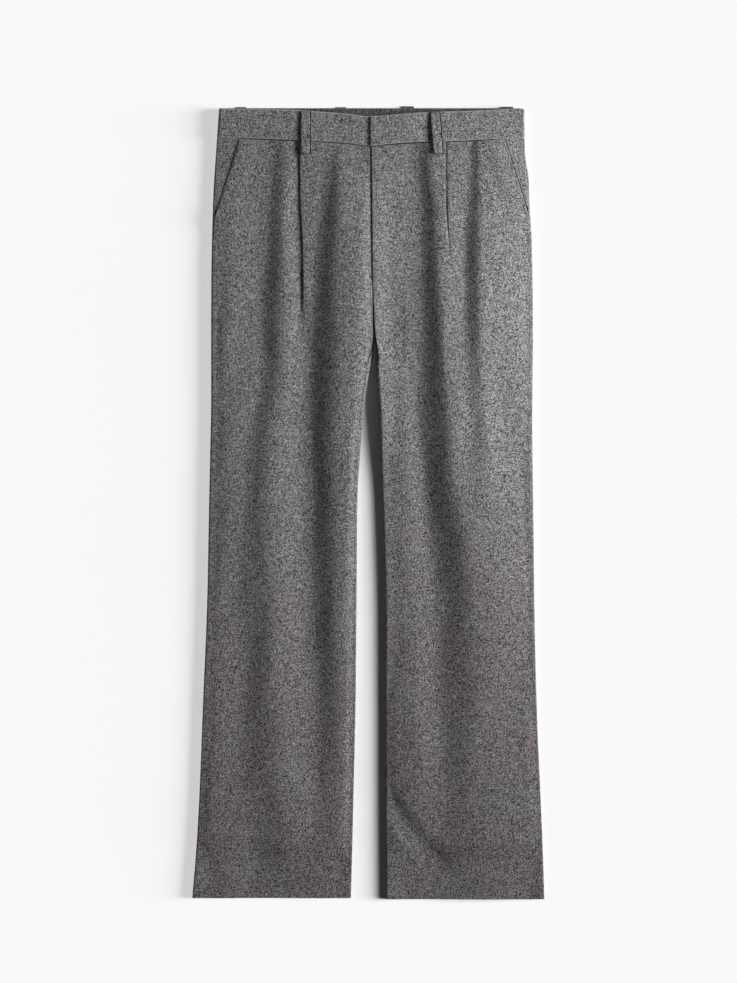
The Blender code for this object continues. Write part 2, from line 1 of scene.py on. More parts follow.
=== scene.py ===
# %% [markdown]
# # Pleated dress trousers, laid flat
# Trousers are a few flat pieces of cloth, sewn at their edges. Laid on a table they don't become flat
# paper: the cloth keeps soft folds, it turns round at the side seams, and it steps up wherever one layer
# lies on another. This lesson models each cut piece as a thin closed shell of cloth. Its points come
# from short tables of real sizes, so a fold can be moved by changing one number.
#
# First the solid model is loaded. It is the fixed frame: every piece made here lies where its solid lies.

# %% Load the solid model
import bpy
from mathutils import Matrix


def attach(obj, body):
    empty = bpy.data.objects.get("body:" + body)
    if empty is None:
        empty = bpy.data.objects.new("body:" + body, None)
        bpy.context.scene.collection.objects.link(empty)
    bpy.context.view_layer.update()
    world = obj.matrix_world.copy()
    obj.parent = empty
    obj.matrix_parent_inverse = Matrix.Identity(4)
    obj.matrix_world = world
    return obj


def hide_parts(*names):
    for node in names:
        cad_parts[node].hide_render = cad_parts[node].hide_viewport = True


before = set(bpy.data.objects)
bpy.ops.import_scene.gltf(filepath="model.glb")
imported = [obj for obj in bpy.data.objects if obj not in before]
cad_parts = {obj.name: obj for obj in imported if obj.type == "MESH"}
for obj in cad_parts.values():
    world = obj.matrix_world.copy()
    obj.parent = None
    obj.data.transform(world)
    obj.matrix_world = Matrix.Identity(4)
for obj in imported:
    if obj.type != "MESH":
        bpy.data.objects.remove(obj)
print("solid nodes:", len(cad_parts))

# %% Tools, and the size that the looks have to keep
from collections import namedtuple

import bpy
import numpy as np
from mathutils import Vector

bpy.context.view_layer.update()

# %% [markdown]
# ## The sizes of the garment
# All tables and helpers are in millimetres, because that is how cloth is measured, and a mesh is turned
# to metres at the very end. Three words give a place on the garment:
# across is from the middle line, + towards the wearer's left, which is +X;
# down is from the tops of the belt loops towards the hems, which is -Y;
# aside is from the middle line towards the side seam of either leg, so it is + on both legs.

# %% Sizes of the cloth and of its layers
MM = 0.001
LENGTH = 1054.5  # from the tops of the belt loops to the lower hem

CLOTH = 1.2  # wall of one layer of wool flannel
BAND = 2.6  # waistband: two layers and the canvas between them
LOOP = 1.4  # belt loop: a narrow strip, folded in three and pressed
LOOP_WIDTH = 14.6
GAP = 0.3  # between two pieces at a seam
TUBE_GAP = 0.12  # between front and back along the side seam and the inside leg, which are sewn shut
BUTTED = 0.1  # the rounding of an edge that is sewn flush to its neighbour
print("one layer of cloth:", CLOTH, "mm; waistband:", BAND, "mm; length:", LENGTH, "mm")

# %% [markdown]
# ## The pattern tables
# Each row is one section of the garment. Section gives the outline of a leg, Fold a ridge of cloth that
# runs down the leg along its crest, with its own width on each side, and Pleat the cloth that is folded
# back under itself at the waist: doubled in full at the top, and opening into the leg lower down. A
# sculpted mesh could hold the same folds, but a table says in millimetres what each one does.

# %% The columns of the tables
Section = namedtuple("Section", "down side inner")  # the leg's outer edge, and its inner one
Fold = namedtuple("Fold", "down crest height right left lean")  # a lean over 1 makes the right foot steep
Pleat = namedtuple("Pleat", "down edge depth turn bend keep")
Line = namedtuple("Line", "down across")  # or any other measure that changes down the garment
Band = namedtuple("Band", "across top seam")
Leg = namedtuple("Leg", "name sign hem sections folds pleat slant")
print("a fold's columns:", Fold._fields)

# %% The outline of each leg
RIGHT_SECTIONS = [
    Section(3, -198.1, 4.0),
    Section(59, -202.1, 4.3),
    Section(125, -206.1, 5.0),
    Section(238, -208.6, 5.8),
    Section(298, -208.8, 7.7),
    Section(318, -208.8, 8.0),
    Section(338, -208.8, 4.2),
    Section(364, -208.7, -0.3),
    Section(398, -208.8, -5.0),
    Section(457, -210.0, -10.3),
    Section(524, -211.4, -14.3),
    Section(656, -214.0, -15.4),
    Section(789, -219.4, -16.7),
    Section(922, -224.7, -19.6),
    Section(988, -228.6, -21.2),
    Section(1053, -234.0, -22.9),
]
LEFT_SECTIONS = [
    Section(3, 207.4, 4.0),
    Section(59, 208.1, 4.3),
    Section(99, 213.4, 4.8),
    Section(125, 214.2, 5.0),
    Section(179, 217.4, 5.4),
    Section(238, 218.6, 5.8),
    Section(298, 219.2, 7.7),
    Section(318, 219.2, 8.9),
    Section(351, 218.8, 10.3),
    Section(417, 218.0, 14.3),
    Section(471, 218.6, 16.5),
    Section(567, 219.8, 20.4),
    Section(683, 221.2, 22.9),
    Section(822, 224.8, 22.9),
    Section(922, 229.3, 23.1),
    Section(1021, 233.2, 23.8),
    Section(1055, 234.2, 24.2),
]
print("sections:", len(RIGHT_SECTIONS), "on the right leg,", len(LEFT_SECTIONS), "on the left")

# %% The large soft folds of the right leg
RIGHT_FOLDS = {
    "side": [
        Fold(46, -181, 1.8, 40, 35, 1),
        Fold(125, -184, 2.6, 38, 40, 1),
        Fold(258, -185, 4.0, 38, 45, 1),
        Fold(391, -185, 4.8, 40, 56, 1),
        Fold(524, -187, 4.6, 40, 58, 1),
        Fold(656, -194, 3.8, 38, 58, 1),
        Fold(789, -200, 2.2, 36, 50, 1),
        Fold(922, -199, 1.6, 38, 42, 1),
        Fold(988, -195, 2.4, 40, 40, 1),
        Fold(1055, -189, 2.0, 48, 40, 1),
    ],
    "thigh": [
        Fold(46, -109, 2.0, 19, 16, 1),
        Fold(125, -111, 4.0, 23, 17, 1),
        Fold(205, -113, 5.5, 25, 21, 1),
        Fold(285, -113, 6.4, 32, 32, 1),
        Fold(338, -115, 6.6, 31, 37, 1),
        Fold(391, -122, 7.0, 34, 41, 1),
        Fold(457, -129, 8.0, 39, 48, 1),
        Fold(590, -130, 9.5, 45, 50, 1),
        Fold(723, -126, 8.5, 50, 50, 1),
        Fold(856, -120, 7.0, 56, 53, 1),
        Fold(982, -104, 5.0, 56, 58, 1),
        Fold(1055, -85, 1.0, 56, 58, 1),
    ],
    "crease": [
        Fold(46, -36, 1.0, 40, 50, 1),
        Fold(79, -35, 5.6, 30, 60, 1),
        Fold(125, -31, 10.4, 36, 66, 1.2),
        Fold(179, -28, 13.2, 45, 70, 1.4),
        Fold(232, -24, 14.2, 54, 70, 1.6),
        Fold(285, -22, 14.4, 56, 64, 1.6),
        Fold(338, -22, 14.0, 57, 52, 1.6),
        Fold(391, -25, 13.4, 55, 52, 1.6),
        Fold(457, -29, 12.4, 49, 50, 1.5),
        Fold(524, -31, 11.4, 45, 47, 1.4),
        Fold(656, -36, 10.0, 42, 43, 1.1),
        Fold(789, -37, 6.5, 35, 40, 1),
        Fold(922, -40, 3.5, 35, 35, 1),
        Fold(1055, -51, 1.5, 48, 48, 1),
    ],
}
print("right leg, mm high:", {name: max(row.height for row in rows) for name, rows in RIGHT_FOLDS.items()})

# %% The large soft folds of the left leg
LEFT_FOLDS = {
    "crease": [
        Fold(46, 84, 1.0, 18, 60, 1),
        Fold(79, 86, 2.6, 20, 66, 1),
        Fold(125, 89, 4.4, 23, 72, 1),
        Fold(179, 94, 7.2, 27, 76, 1),
        Fold(232, 98, 9.4, 30, 78, 1),
        Fold(285, 101, 11.5, 34, 78, 0.9),
        Fold(338, 103, 12.5, 37, 80, 0.85),
        Fold(391, 107, 13.5, 43, 80, 0.85),
        Fold(457, 114, 14.0, 49, 88, 0.9),
        Fold(524, 124, 14.5, 53, 106, 1),
        Fold(590, 136, 14.0, 56, 106, 1),
        Fold(656, 145, 13.0, 60, 101, 1),
        Fold(789, 147, 9.5, 62, 101, 1),
        Fold(922, 143, 7.0, 66, 106, 1),
        Fold(1002, 152, 5.5, 80, 93, 1),
        Fold(1055, 156, 4.5, 80, 88, 1),
    ],
    "hip": [
        Fold(46, 150, 4.5, 16, 80, 1),
        Fold(125, 152, 9.0, 24, 88, 1),
        Fold(179, 152, 11.0, 28, 93, 1),
        Fold(285, 154, 11.4, 30, 98, 1),
        Fold(338, 155, 10.0, 29, 98, 1),
        Fold(391, 157, 8.5, 29, 96, 1),
        Fold(457, 161, 6.0, 29, 92, 1),
        Fold(537, 166, 2.0, 32, 84, 1),
        Fold(610, 170, 0.0, 32, 76, 1),
    ],
    "inside leg": [
        Fold(298, 42, 0.0, 45, 19, 1),
        Fold(391, 45, 2.0, 45, 21, 1),
        Fold(524, 50, 3.5, 48, 29, 1),
        Fold(656, 55, 4.0, 53, 35, 1),
        Fold(789, 61, 4.5, 58, 37, 1),
        Fold(869, 66, 4.5, 61, 40, 1),
        Fold(935, 69, 4.0, 53, 40, 1),
        Fold(988, 47, 1.5, 37, 40, 1),
        Fold(1055, 39, 0.0, 35, 40, 1),
    ],
}
print("left leg, mm high:", {name: max(row.height for row in rows) for name, rows in LEFT_FOLDS.items()})

# %% [markdown]
# A pleat's edge is the fold on show. depth is the length that is doubled back, turn the angle of each of
# its two bends in degrees, bend their radius, and keep how much of its step is left. At the waist both
# bends are full half turns; further down they open, and the pleat becomes one more soft fold.

# %% The pleats
RIGHT_PLEAT = [
    Pleat(46, -91.4, 18.0, 180, 0.8, 1.0),
    Pleat(125, -90.7, 14.0, 180, 0.8, 1.0),
    Pleat(178, -87.8, 8.0, 180, 0.8, 1.0),
    Pleat(208, -87.1, 2.5, 180, 0.8, 1.0),
    Pleat(224, -87.0, 1.0, 140, 1.0, 1.0),
    Pleat(245, -87.3, 1.0, 80, 2.0, 0.9),
    Pleat(271, -87.9, 2.0, 40, 6.0, 0.7),
    Pleat(311, -86.6, 4.0, 18, 20.0, 0.4),
    Pleat(364, -84.0, 4.0, 9, 45.0, 0.0),
    Pleat(524, -82.6, 4.0, 9, 45.0, 0.0),
    Pleat(789, -74.7, 4.0, 9, 45.0, 0.0),
    Pleat(1055, -66.7, 4.0, 9, 45.0, 0.0),
]
LEFT_PLEAT = [
    Pleat(46, 102.4, 18.0, 180, 0.8, 1.0),
    Pleat(92, 102.8, 12.0, 180, 0.8, 1.0),
    Pleat(118, 103.1, 5.0, 180, 0.8, 1.0),
    Pleat(134, 103.4, 1.0, 140, 0.9, 1.0),
    Pleat(152, 104.2, 1.0, 80, 1.4, 0.8),
    Pleat(182, 105.4, 1.5, 40, 3.0, 0.5),
    Pleat(230, 107.2, 3.0, 18, 8.0, 0.3),
    Pleat(300, 108.6, 4.0, 9, 20.0, 0.0),
    Pleat(524, 126.0, 4.0, 9, 45.0, 0.0),
    Pleat(683, 146.0, 4.0, 9, 45.0, 0.0),
    Pleat(1055, 148.0, 4.0, 9, 45.0, 0.0),
]
print("doubled back at the waist:", RIGHT_PLEAT[0].depth, "and", LEFT_PLEAT[0].depth, "mm")

# %% The pocket slants, the waistband and the belt loops
RIGHT_SLANT = [Line(42, -170.5), Line(48.5, -172.2), Line(140, -201.0)]
LEFT_SLANT = [Line(42, 180.0), Line(53.8, 183.5), Line(136, 209.8)]
BAND_FRONT = [
    Band(-198.1, 3.7, 42.5),
    Band(-143.7, 4.6, 43.9),
    Band(-94.6, 5.8, 46.2),
    Band(-64.0, 8.0, 47.5),
    Band(-30.9, 10.6, 49.5),
    Band(3.7, 14.3, 53.4),
    Band(28.9, 12.6, 50.8),
    Band(55.4, 10.0, 48.7),
    Band(101.9, 7.8, 47.6),
    Band(148.3, 6.4, 45.4),
    Band(207.4, 3.3, 43.1),
]
BAND_BACK_TOP = 3.0
BAND_BACK_SEAM = 42.8
# the middle line of each front loop at its top and its foot, and the top of each loop behind
FRONT_LOOPS = {
    "right": (Line(7.2, -83.4), Line(64.4, -83.4)),
    "left": (Line(8.8, 88.5), Line(64.9, 92.9)),
}
BACK_LOOPS = {
    "side_right": Line(1.3, -169.6),
    "back_right": Line(1.5, -36.8),
    "back_left": Line(0.3, 53.4),
    "side_left": Line(0.9, 185.2),
}
print("front of the waistband:", BAND_FRONT[-1].across - BAND_FRONT[0].across, "mm wide")

# %% The two legs
RIGHT = Leg("right", -1, 1052.7, RIGHT_SECTIONS, RIGHT_FOLDS, RIGHT_PLEAT, RIGHT_SLANT)
LEFT = Leg("left", 1, 1054.2, LEFT_SECTIONS, LEFT_FOLDS, LEFT_PLEAT, LEFT_SLANT)
LEGS = RIGHT, LEFT
print("hems, mm down:", {leg.name: leg.hem for leg in LEGS})

# %% [markdown]
# ## The small creases
# The solids carry only the large folds. Worn and stored cloth also has short soft creases, where it was
# bent over a rail or pulled at a seam. They could be painted with a bump map, but a bump has no outline
# and no shadow. So each is a real trough or ridge in the cloth: a row gives its two ends, how far it
# bows aside, its half width and its height, where a minus sign is a trough. No two are alike.

# %% The creases of the front
Crease = namedtuple("Crease", "across down end_across end_down bow wide high")
FRONT_CREASES = [
    # the break above the left hem, with a sharp start at the inside leg
    Crease(-9, 871, 128, 1046, -5, 21, -3.0),
    Crease(30, 919, 50, 938, 1, 4, -0.7),
    # a softer one at the right side seam, above the hem
    Crease(-236, 976, -196, 1040, -3, 11, -1.3),
    # the press mark below the fly
    Crease(40, 190, 44, 356, 1, 5.5, -2.0),
    Crease(48, 225, 52, 340, 1, 8, 0.3),
    # drag lines from the crotch
    Crease(8, 322, 62, 288, 4, 7, 0.5),
    Crease(4, 336, -58, 300, -4, 8, 0.6),
    Crease(2, 352, -46, 338, -3, 7, -0.5),
    Crease(14, 350, 58, 332, 3, 7, -0.4),
    # soft dents on the thighs and the shins
    Crease(-150, 300, -120, 372, 5, 14, -0.7),
    Crease(-66, 402, -52, 520, -4, 14, 0.6),
    Crease(-176, 560, -160, 690, 6, 16, 0.6),
    Crease(-108, 700, -92, 860, -6, 18, -0.7),
    Crease(-60, 880, -72, 1000, 4, 14, 0.6),
    Crease(-150, 880, -128, 985, 5, 16, -0.6),
    Crease(70, 420, 78, 560, 4, 14, -0.6),
    Crease(170, 330, 186, 470, -4, 16, -0.8),
    Crease(96, 640, 84, 780, -5, 16, 0.6),
    Crease(180, 700, 192, 860, 5, 18, -0.7),
    Crease(120, 850, 108, 980, 5, 18, -0.6),
    # below the waistband
    Crease(-150, 60, -146, 128, 2, 9, 0.5),
    Crease(-60, 62, -56, 120, 2, 9, 0.5),
    Crease(44, 60, 50, 112, -2, 9, 0.4),
    Crease(128, 58, 132, 124, 2, 9, 0.5),
]
print("creases by hand in front:", len(FRONT_CREASES))

# %% The creases of the back and of the waistband
BACK_CREASES = [
    Crease(-150, 150, -60, 330, 10, 22, 0.25),
    Crease(-60, 300, -150, 420, -8, 20, 0.25),
    Crease(-170, 520, -90, 640, 8, 24, 0.25),
    Crease(-70, 760, -160, 900, -6, 24, 0.25),
    Crease(60, 140, 160, 300, -10, 22, 0.25),
    Crease(70, 340, 170, 420, 8, 20, 0.25),
    Crease(180, 560, 90, 680, -8, 24, 0.25),
    Crease(80, 800, 170, 930, 6, 24, 0.25),
]
BAND_CREASES = [
    Crease(-70, 10, -4, 34, 2, 8, -0.9),
    Crease(-150, 6, -96, 40, -2, 14, -0.5),
    Crease(-196, 10, -170, 40, 1, 9, 0.4),
    Crease(60, 34, 124, 22, 2, 10, -0.5),
    Crease(120, 12, 170, 26, -2, 12, 0.4),
]
print("creases by hand behind:", len(BACK_CREASES), "and on the waistband:", len(BAND_CREASES))

# %% [markdown]
# ## From tables to a surface
# A table has a row only where something changes, so a smooth line has to be drawn through its rows. A
# cubic that never overshoots does it: a fold then has no ripples that nobody asked for.


# %% A smooth line through one column of a table
def follow(rows, column, down, along="down"):
    """The smooth line through one column of a table, which never overshoots between two rows."""
    x = np.array([getattr(row, along) for row in rows], float)
    y = np.array([getattr(row, column) for row in rows], float)
    step = np.diff(x)
    slope = np.diff(y) / step
    tangent = np.zeros(len(x))
    tangent[[0, -1]] = slope[[0, -1]]
    for i in range(1, len(x) - 1):
        if slope[i - 1] * slope[i] > 0:
            before, after = 2 * step[i] + step[i - 1], step[i] + 2 * step[i - 1]
            tangent[i] = (before + after) / (before / slope[i - 1] + after / slope[i])
    place = np.clip(np.asarray(down, float), x[0], x[-1])
    i = np.clip(np.searchsorted(x, place, side="right") - 1, 0, len(x) - 2)
    t = (place - x[i]) / step[i]
    start = y[i] * (1 + 2 * t) * (1 - t) ** 2 + tangent[i] * step[i] * t * (1 - t) ** 2
    end = y[i + 1] * t * t * (3 - 2 * t) + tangent[i + 1] * step[i] * t * t * (t - 1)
    return start + end


def smooth(value, start, end):
    """0 before start, 1 after end, and a soft change between them."""
    t = np.clip((value - start) / (end - start), 0, 1)
    return t * t * (3 - 2 * t)


def bell(t):
    """1 at 0, falling softly to 0 at 1."""
    return 0.5 * (1 + np.cos(np.pi * np.clip(np.abs(t), 0, 1)))


print("right main fold, mm high at 100 and 500 mm down:", follow(RIGHT_FOLDS["crease"], "height", [100, 500]))

# %% [markdown]
# ## Heights along the seams
# The back lies flat on the table, and the front meets it in a soft turn at each side. So the height of a
# seam is also twice the radius of that turn. Just below the crotch four seams meet, and the cloth stands
# up there.

# %% How high the seams lie
BACK_HEIGHT = CLOTH / 2  # mid-wall of a back panel where it lies on the table
LOOP_CLEARANCE = LOOP + GAP  # room under the back of the waist for the belt loops that lie there
BACK_RISE = (63.0, 90.0)  # where the back panels come down from those loops
SEAM_HEIGHT = 5.2  # mid-wall of the front panel along the side seam and the inside leg
SEAM_FALL = 0.7  # how much flatter both lie near the hem, and where they get flatter
SEAM_FALL_RANGE = (520.0, 860.0)
CROTCH_LIFT = 3.8  # how much higher the inside leg stands just below the crotch, and where that fades
CROTCH_LIFT_FADE = {"right": (420.0, 800.0), "left": (396.0, 520.0)}


def back_height(down):
    """The back panels rise over the belt loops that lie under the back of the waist."""
    return BACK_HEIGHT + LOOP_CLEARANCE * (1 - smooth(down, *BACK_RISE))


def seam_height(down):
    """Mid-wall of the front along the side seam and the inside leg, which lie flatter towards the hem."""
    return SEAM_HEIGHT - SEAM_FALL * smooth(down, *SEAM_FALL_RANGE)


def inner_seam_height(leg, down):
    return seam_height(down) + CROTCH_LIFT * (1 - smooth(down, *CROTCH_LIFT_FADE[leg.name]))


def roll_radius(height, down):
    """The radius of the half turn from the back panel up to a seam at this height."""
    return (height - back_height(down)) / 2


print("inside leg at the crotch and at the hem, mm high:", inner_seam_height(RIGHT, np.array([360, 1000])))

# %% Where the edges of the pieces run
SLANT_JOIN = 8.0  # below a pocket's slant, the length in which the front reaches the side seam
FLY_UNDERLAP = 14.0  # how far the right front goes on under the fly
FLY_RETREAT = 167.0  # where the underlap starts to narrow
FLY_END = 212.0  # where the fly stops and the centre seam goes on
CROTCH_START = 306.0  # where the legs start to part
CROTCH_END = 352.0  # and where each is a tube
CROTCH_LEAD = 6.0  # the front panels draw apart this much sooner than the back ones
SLIT = [Line(224, 0.0), Line(236, 0.9), Line(262, 1.7), Line(285, 2.4), Line(320, 3.8)]  # how far it gapes


def band_seam(across):
    return follow(BAND_FRONT, "seam", across, "across")


def open_leg(down):
    """0 above the crotch, where the legs join at the centre seam, and 1 where each leg is a tube."""
    return smooth(down, CROTCH_START, CROTCH_END)


def side_seam(leg, down):
    outline = leg.sign * follow(leg.sections, "side", down)
    return outline - roll_radius(seam_height(down), down) - CLOTH / 2 - TUBE_GAP


def front_side(leg, down):
    """Where the front panel ends at the side: the slant of the pocket, then the side seam."""
    slant = leg.sign * follow(leg.slant, "across", down)
    end = leg.slant[-1].down
    return slant + (side_seam(leg, down) - slant) * smooth(down, end, end + SLANT_JOIN)


def front_inner(leg, down):
    """Where the front panel ends at the centre seam, under the fly, or along the inside leg."""
    inner = leg.sign * follow(leg.sections, "inner", down)
    tube = roll_radius(inner_seam_height(leg, down), down) + CLOTH / 2 + TUBE_GAP
    opened = open_leg(down + CROTCH_LEAD)
    edge = inner + GAP / 2 + (tube - GAP / 2) * opened + follow(SLIT, "across", down) / 2 * (1 - opened)
    if leg is RIGHT:
        edge = edge - FLY_UNDERLAP * (1 - smooth(down, FLY_RETREAT, FLY_END))
    return edge


knee = 590.0
widths = {leg.name: round(float(side_seam(leg, knee) - front_inner(leg, knee)), 1) for leg in LEGS}
print("front panels at the knee, mm wide:", widths)

# %% How high the folds and the creases stand
FULL_FROM, FULL_TO = 0.35, 0.6  # the shares of a crease's length between which it has its full depth


def ridges(leg, across, down):
    """The large folds of one leg."""
    height = np.zeros(np.broadcast(across, down).shape)
    for rows in leg.folds.values():
        offset = across - follow(rows, "crest", down)
        to_right = np.clip(-offset / follow(rows, "right", down), 0, 1) ** follow(rows, "lean", down)
        to_left = np.clip(offset / follow(rows, "left", down), 0, 1)
        height = height + follow(rows, "height", down) * bell(np.where(offset < 0, to_right, to_left))
    return height


def creasing(creases, across, down):
    """The small troughs and ridges, each fading out at its two ends."""
    height = np.zeros(np.broadcast(across, down).shape)
    for crease in creases:
        run_across = crease.end_across - crease.across
        run_down = crease.end_down - crease.down
        run = np.hypot(run_across, run_down)
        share = ((across - crease.across) * run_across + (down - crease.down) * run_down) / run**2
        offset = ((across - crease.across) * run_down - (down - crease.down) * run_across) / run
        offset = offset - crease.bow * 4 * share * (1 - share)
        fade = smooth(share, 0, FULL_FROM) * (1 - smooth(share, FULL_TO, 1))
        height = height + crease.high * fade * bell(offset / crease.wide)
    return height


above_knee = ridges(LEFT, np.array([60, 125, 190]), 500)
print("the large folds above the left knee, mm high:", np.round(above_knee, 1))

# %% [markdown]
# Hand-made creases alone leave the cloth between them too smooth. Real flannel is never quite even, so a
# few long waves of a few tenths of a millimetre are added, with a fixed seed so each run is the same.

# %% The unevenness of cloth that has been worn
Wave = namedtuple("Wave", "wide long phase skew")
WAVE_COUNT = 9
WAVE_HEIGHT = 0.11
WIDTHS, LENGTHS, TURN, SKEWS = (40, 120), (90, 260), (0, 2 * np.pi), (-0.3, 0.3)
random = np.random.default_rng(7)
WAVES = [Wave(*(random.uniform(*span) for span in (WIDTHS, LENGTHS, TURN, SKEWS))) for _ in range(WAVE_COUNT)]


def unevenness(across, down):
    height = np.zeros(np.broadcast(across, down).shape)
    for wave in WAVES:
        turns = (across + wave.skew * down) / wave.wide + down / wave.long
        height = height + np.sin(2 * np.pi * turns + wave.phase)
    return WAVE_HEIGHT * height


print("waves:", WAVE_COUNT, "the widest", round(max(wave.wide for wave in WAVES)), "mm")

# %% [markdown]
# The height of the front is the sum of all these, kept above the back panel that it lies on. Near a
# seam it slopes to that seam's height. Near the hem the turned-up cloth is doubled and stiff, so it holds
# the leg a little open.

# %% How high the front of a leg lies
REST = 2.3  # a front panel's mid-wall where it lies on the back panel
LOWEST = REST - 0.15  # it never lies lower, to stay clear of the back
HEM_RISE = 3.2  # how much higher the front lies near the hem
HEM_RISE_RANGE = (700.0, 950.0)
HEM_DIP = 3.0  # how far it falls again at the very hem
HEM_DIP_RANGE = (974.0, 1008.0)
EDGE_SLOPE = 28.0  # how far in from a higher seam the front slopes up to it
EDGE_SHOULDER = 14.0  # and how far in from a lower one it comes down
CENTRE = [  # the height of the centre seam, before the belt loops beneath lift it
    Line(43, 3.4),
    Line(90, 4.8),
    Line(160, 7.6),
    Line(232, 9.2),
    Line(300, 9.4),
    Line(352, 8.8),
]


def lie(leg, across, down):
    """Mid-wall height of a leg's front, with its folds, creases and slopes to the seams."""
    over_loops = back_height(down) - BACK_HEIGHT
    small = creasing(FRONT_CREASES, across, down) + unevenness(across, down)
    near_hem = HEM_RISE * smooth(down, *HEM_RISE_RANGE) - HEM_DIP * smooth(down, *HEM_DIP_RANGE)
    height = np.maximum(REST + ridges(leg, across, down) + small + near_hem, LOWEST) + over_loops
    aside = leg.sign * across
    centre = leg.sign * follow(leg.sections, "inner", down)
    edge_height = seam_height(down)
    centre_height = follow(CENTRE, "across", down)
    parted = (inner_seam_height(leg, down) - centre_height) * open_leg(down)
    inner_height = centre_height + over_loops + parted
    for distance, target in ((side_seam(leg, down) - aside, edge_height), (aside - centre, inner_height)):
        reach = np.where(height < target, EDGE_SLOPE, EDGE_SHOULDER)
        height = height + (target - height) * bell(np.clip(distance, 0, None) / reach)
    return height


probe = lie(LEFT, np.linspace(30, 210, 7), np.full(7, knee))
print("left leg at the knee, mm high:", np.round(probe, 1))

# %% [markdown]
# Where one layer lies on another it steps up: over the pocket facings, and over the underlap of the fly.
# The step is sharp on top of the edge below and fades out softly beside it.

# %% How much higher the front lies over other layers
LAYER_STEP = 1.6  # mid-wall to mid-wall where one layer lies on another
POCKET_UNDERLAP = 12.0  # how far a pocket facing goes on under the front
POCKET_MARGIN = 2.0  # how far past the facing's hidden edge the front still lies over it
POCKET_FADE = 20.0
POCKET_END_FADE = 24.0
FLY_STEP = 2.4  # how much higher the left front lies over the fly's underlap, and over the zip's tapes
FLY_LOW = 250.0  # where that step is gone
FLY_MARGIN = 3.0  # how far past the underlap the step stays whole
FLY_FADE = 38.0
FLY_SWELL = 1.2  # how far the right front swells up beside the fly's edge
FLY_SWELL_REACH = (0.6, 2.4)
FLY_SWELL_FADE = (5.0, 30.0)


def fly_swell(across, down):
    beside = follow(RIGHT_SECTIONS, "inner", down) - across
    swell = smooth(beside, *FLY_SWELL_REACH) * (1 - smooth(beside, *FLY_SWELL_FADE))
    return FLY_SWELL * swell * (1 - smooth(down, FLY_END, FLY_LOW))


def overlaps(leg, across, down):
    """How much higher the front lies over the pocket facing or, on the left, over the fly's underlap."""
    aside = leg.sign * across
    inside = front_side(leg, down) - aside
    hidden = POCKET_UNDERLAP + POCKET_MARGIN
    pocket = 1 - smooth(inside, hidden, hidden + POCKET_FADE)
    end = leg.slant[-1].down + SLANT_JOIN
    lift = LAYER_STEP * pocket * (1 - smooth(down, end, end + POCKET_END_FADE))
    if leg is RIGHT:
        lift = lift + fly_swell(across, down)
    if leg is LEFT:
        inside = aside - front_inner(leg, down)
        fly = 1 - smooth(inside, FLY_UNDERLAP + FLY_MARGIN, FLY_UNDERLAP + FLY_MARGIN + FLY_FADE)
        lift = lift + FLY_STEP * fly * (1 - smooth(down, FLY_END + FLY_MARGIN, FLY_LOW))
    return lift


print("step beside the fly, mm:", np.round(overlaps(LEFT, np.array([10.0, 30.0, 60.0]), 120), 1))

# %% [markdown]
# ## The pleat
# A pleat is one sheet of cloth with two tight bends: it turns back under itself, runs a little way, and
# turns again. A height map can't hold that, because the cloth lies over itself. So the sheet is followed
# along its own length instead. A place from 0 to 1 is on the sheet on top, 1 to 2 is round the two
# bends, and 2 to 3 is on the sheet that comes out below.


# %% The size of a pleat at each height
PLEAT_MARGIN = 2.0  # how far past the doubled cloth the sheet on top stays lifted
PLEAT_FADE = 26.0


def pleat_shape(leg, down):
    """The start, the doubled-back length, the angle, the bends' radius and the step of the pleat."""
    edge = leg.sign * follow(leg.pleat, "edge", down)
    depth = follow(leg.pleat, "depth", down)
    turn = np.radians(follow(leg.pleat, "turn", down))
    bend = follow(leg.pleat, "bend", down)
    start = edge - bend * np.sin(np.minimum(turn, np.pi / 2)) - CLOTH / 2
    drop = 2 * bend * (1 - np.cos(turn)) + depth * np.sin(turn)
    return start, depth, turn, bend, drop


def pleat_cover(leg, aside, down):
    """How much the pleat lifts the sheet that lies on top of it, from 0 to 1."""
    start, depth, turn, bend, drop = pleat_shape(leg, down)
    covered = np.clip(-depth * np.cos(turn), 0, None) + PLEAT_MARGIN
    return 1 - smooth(start - aside, covered, covered + PLEAT_FADE)


print("right pleat at 100 mm down: doubled back for", round(float(pleat_shape(RIGHT, 100)[1]), 1), "mm")

# %% Follow the cloth round a pleat
BEND, RUN = 0.4, 0.2  # the places 1 to 2 are a bend, the run that is doubled back, and a second bend
RUN_START, RUN_END = 1.4, 1.6
PUFF = {"right": 0.35, "left": 0.6}  # how far the cloth beside the fold swells up to its level
PUFF_RISE = 2.2  # mm over which it does
PUFF_FALL = (6.0, 60.0)  # and over which it sinks again


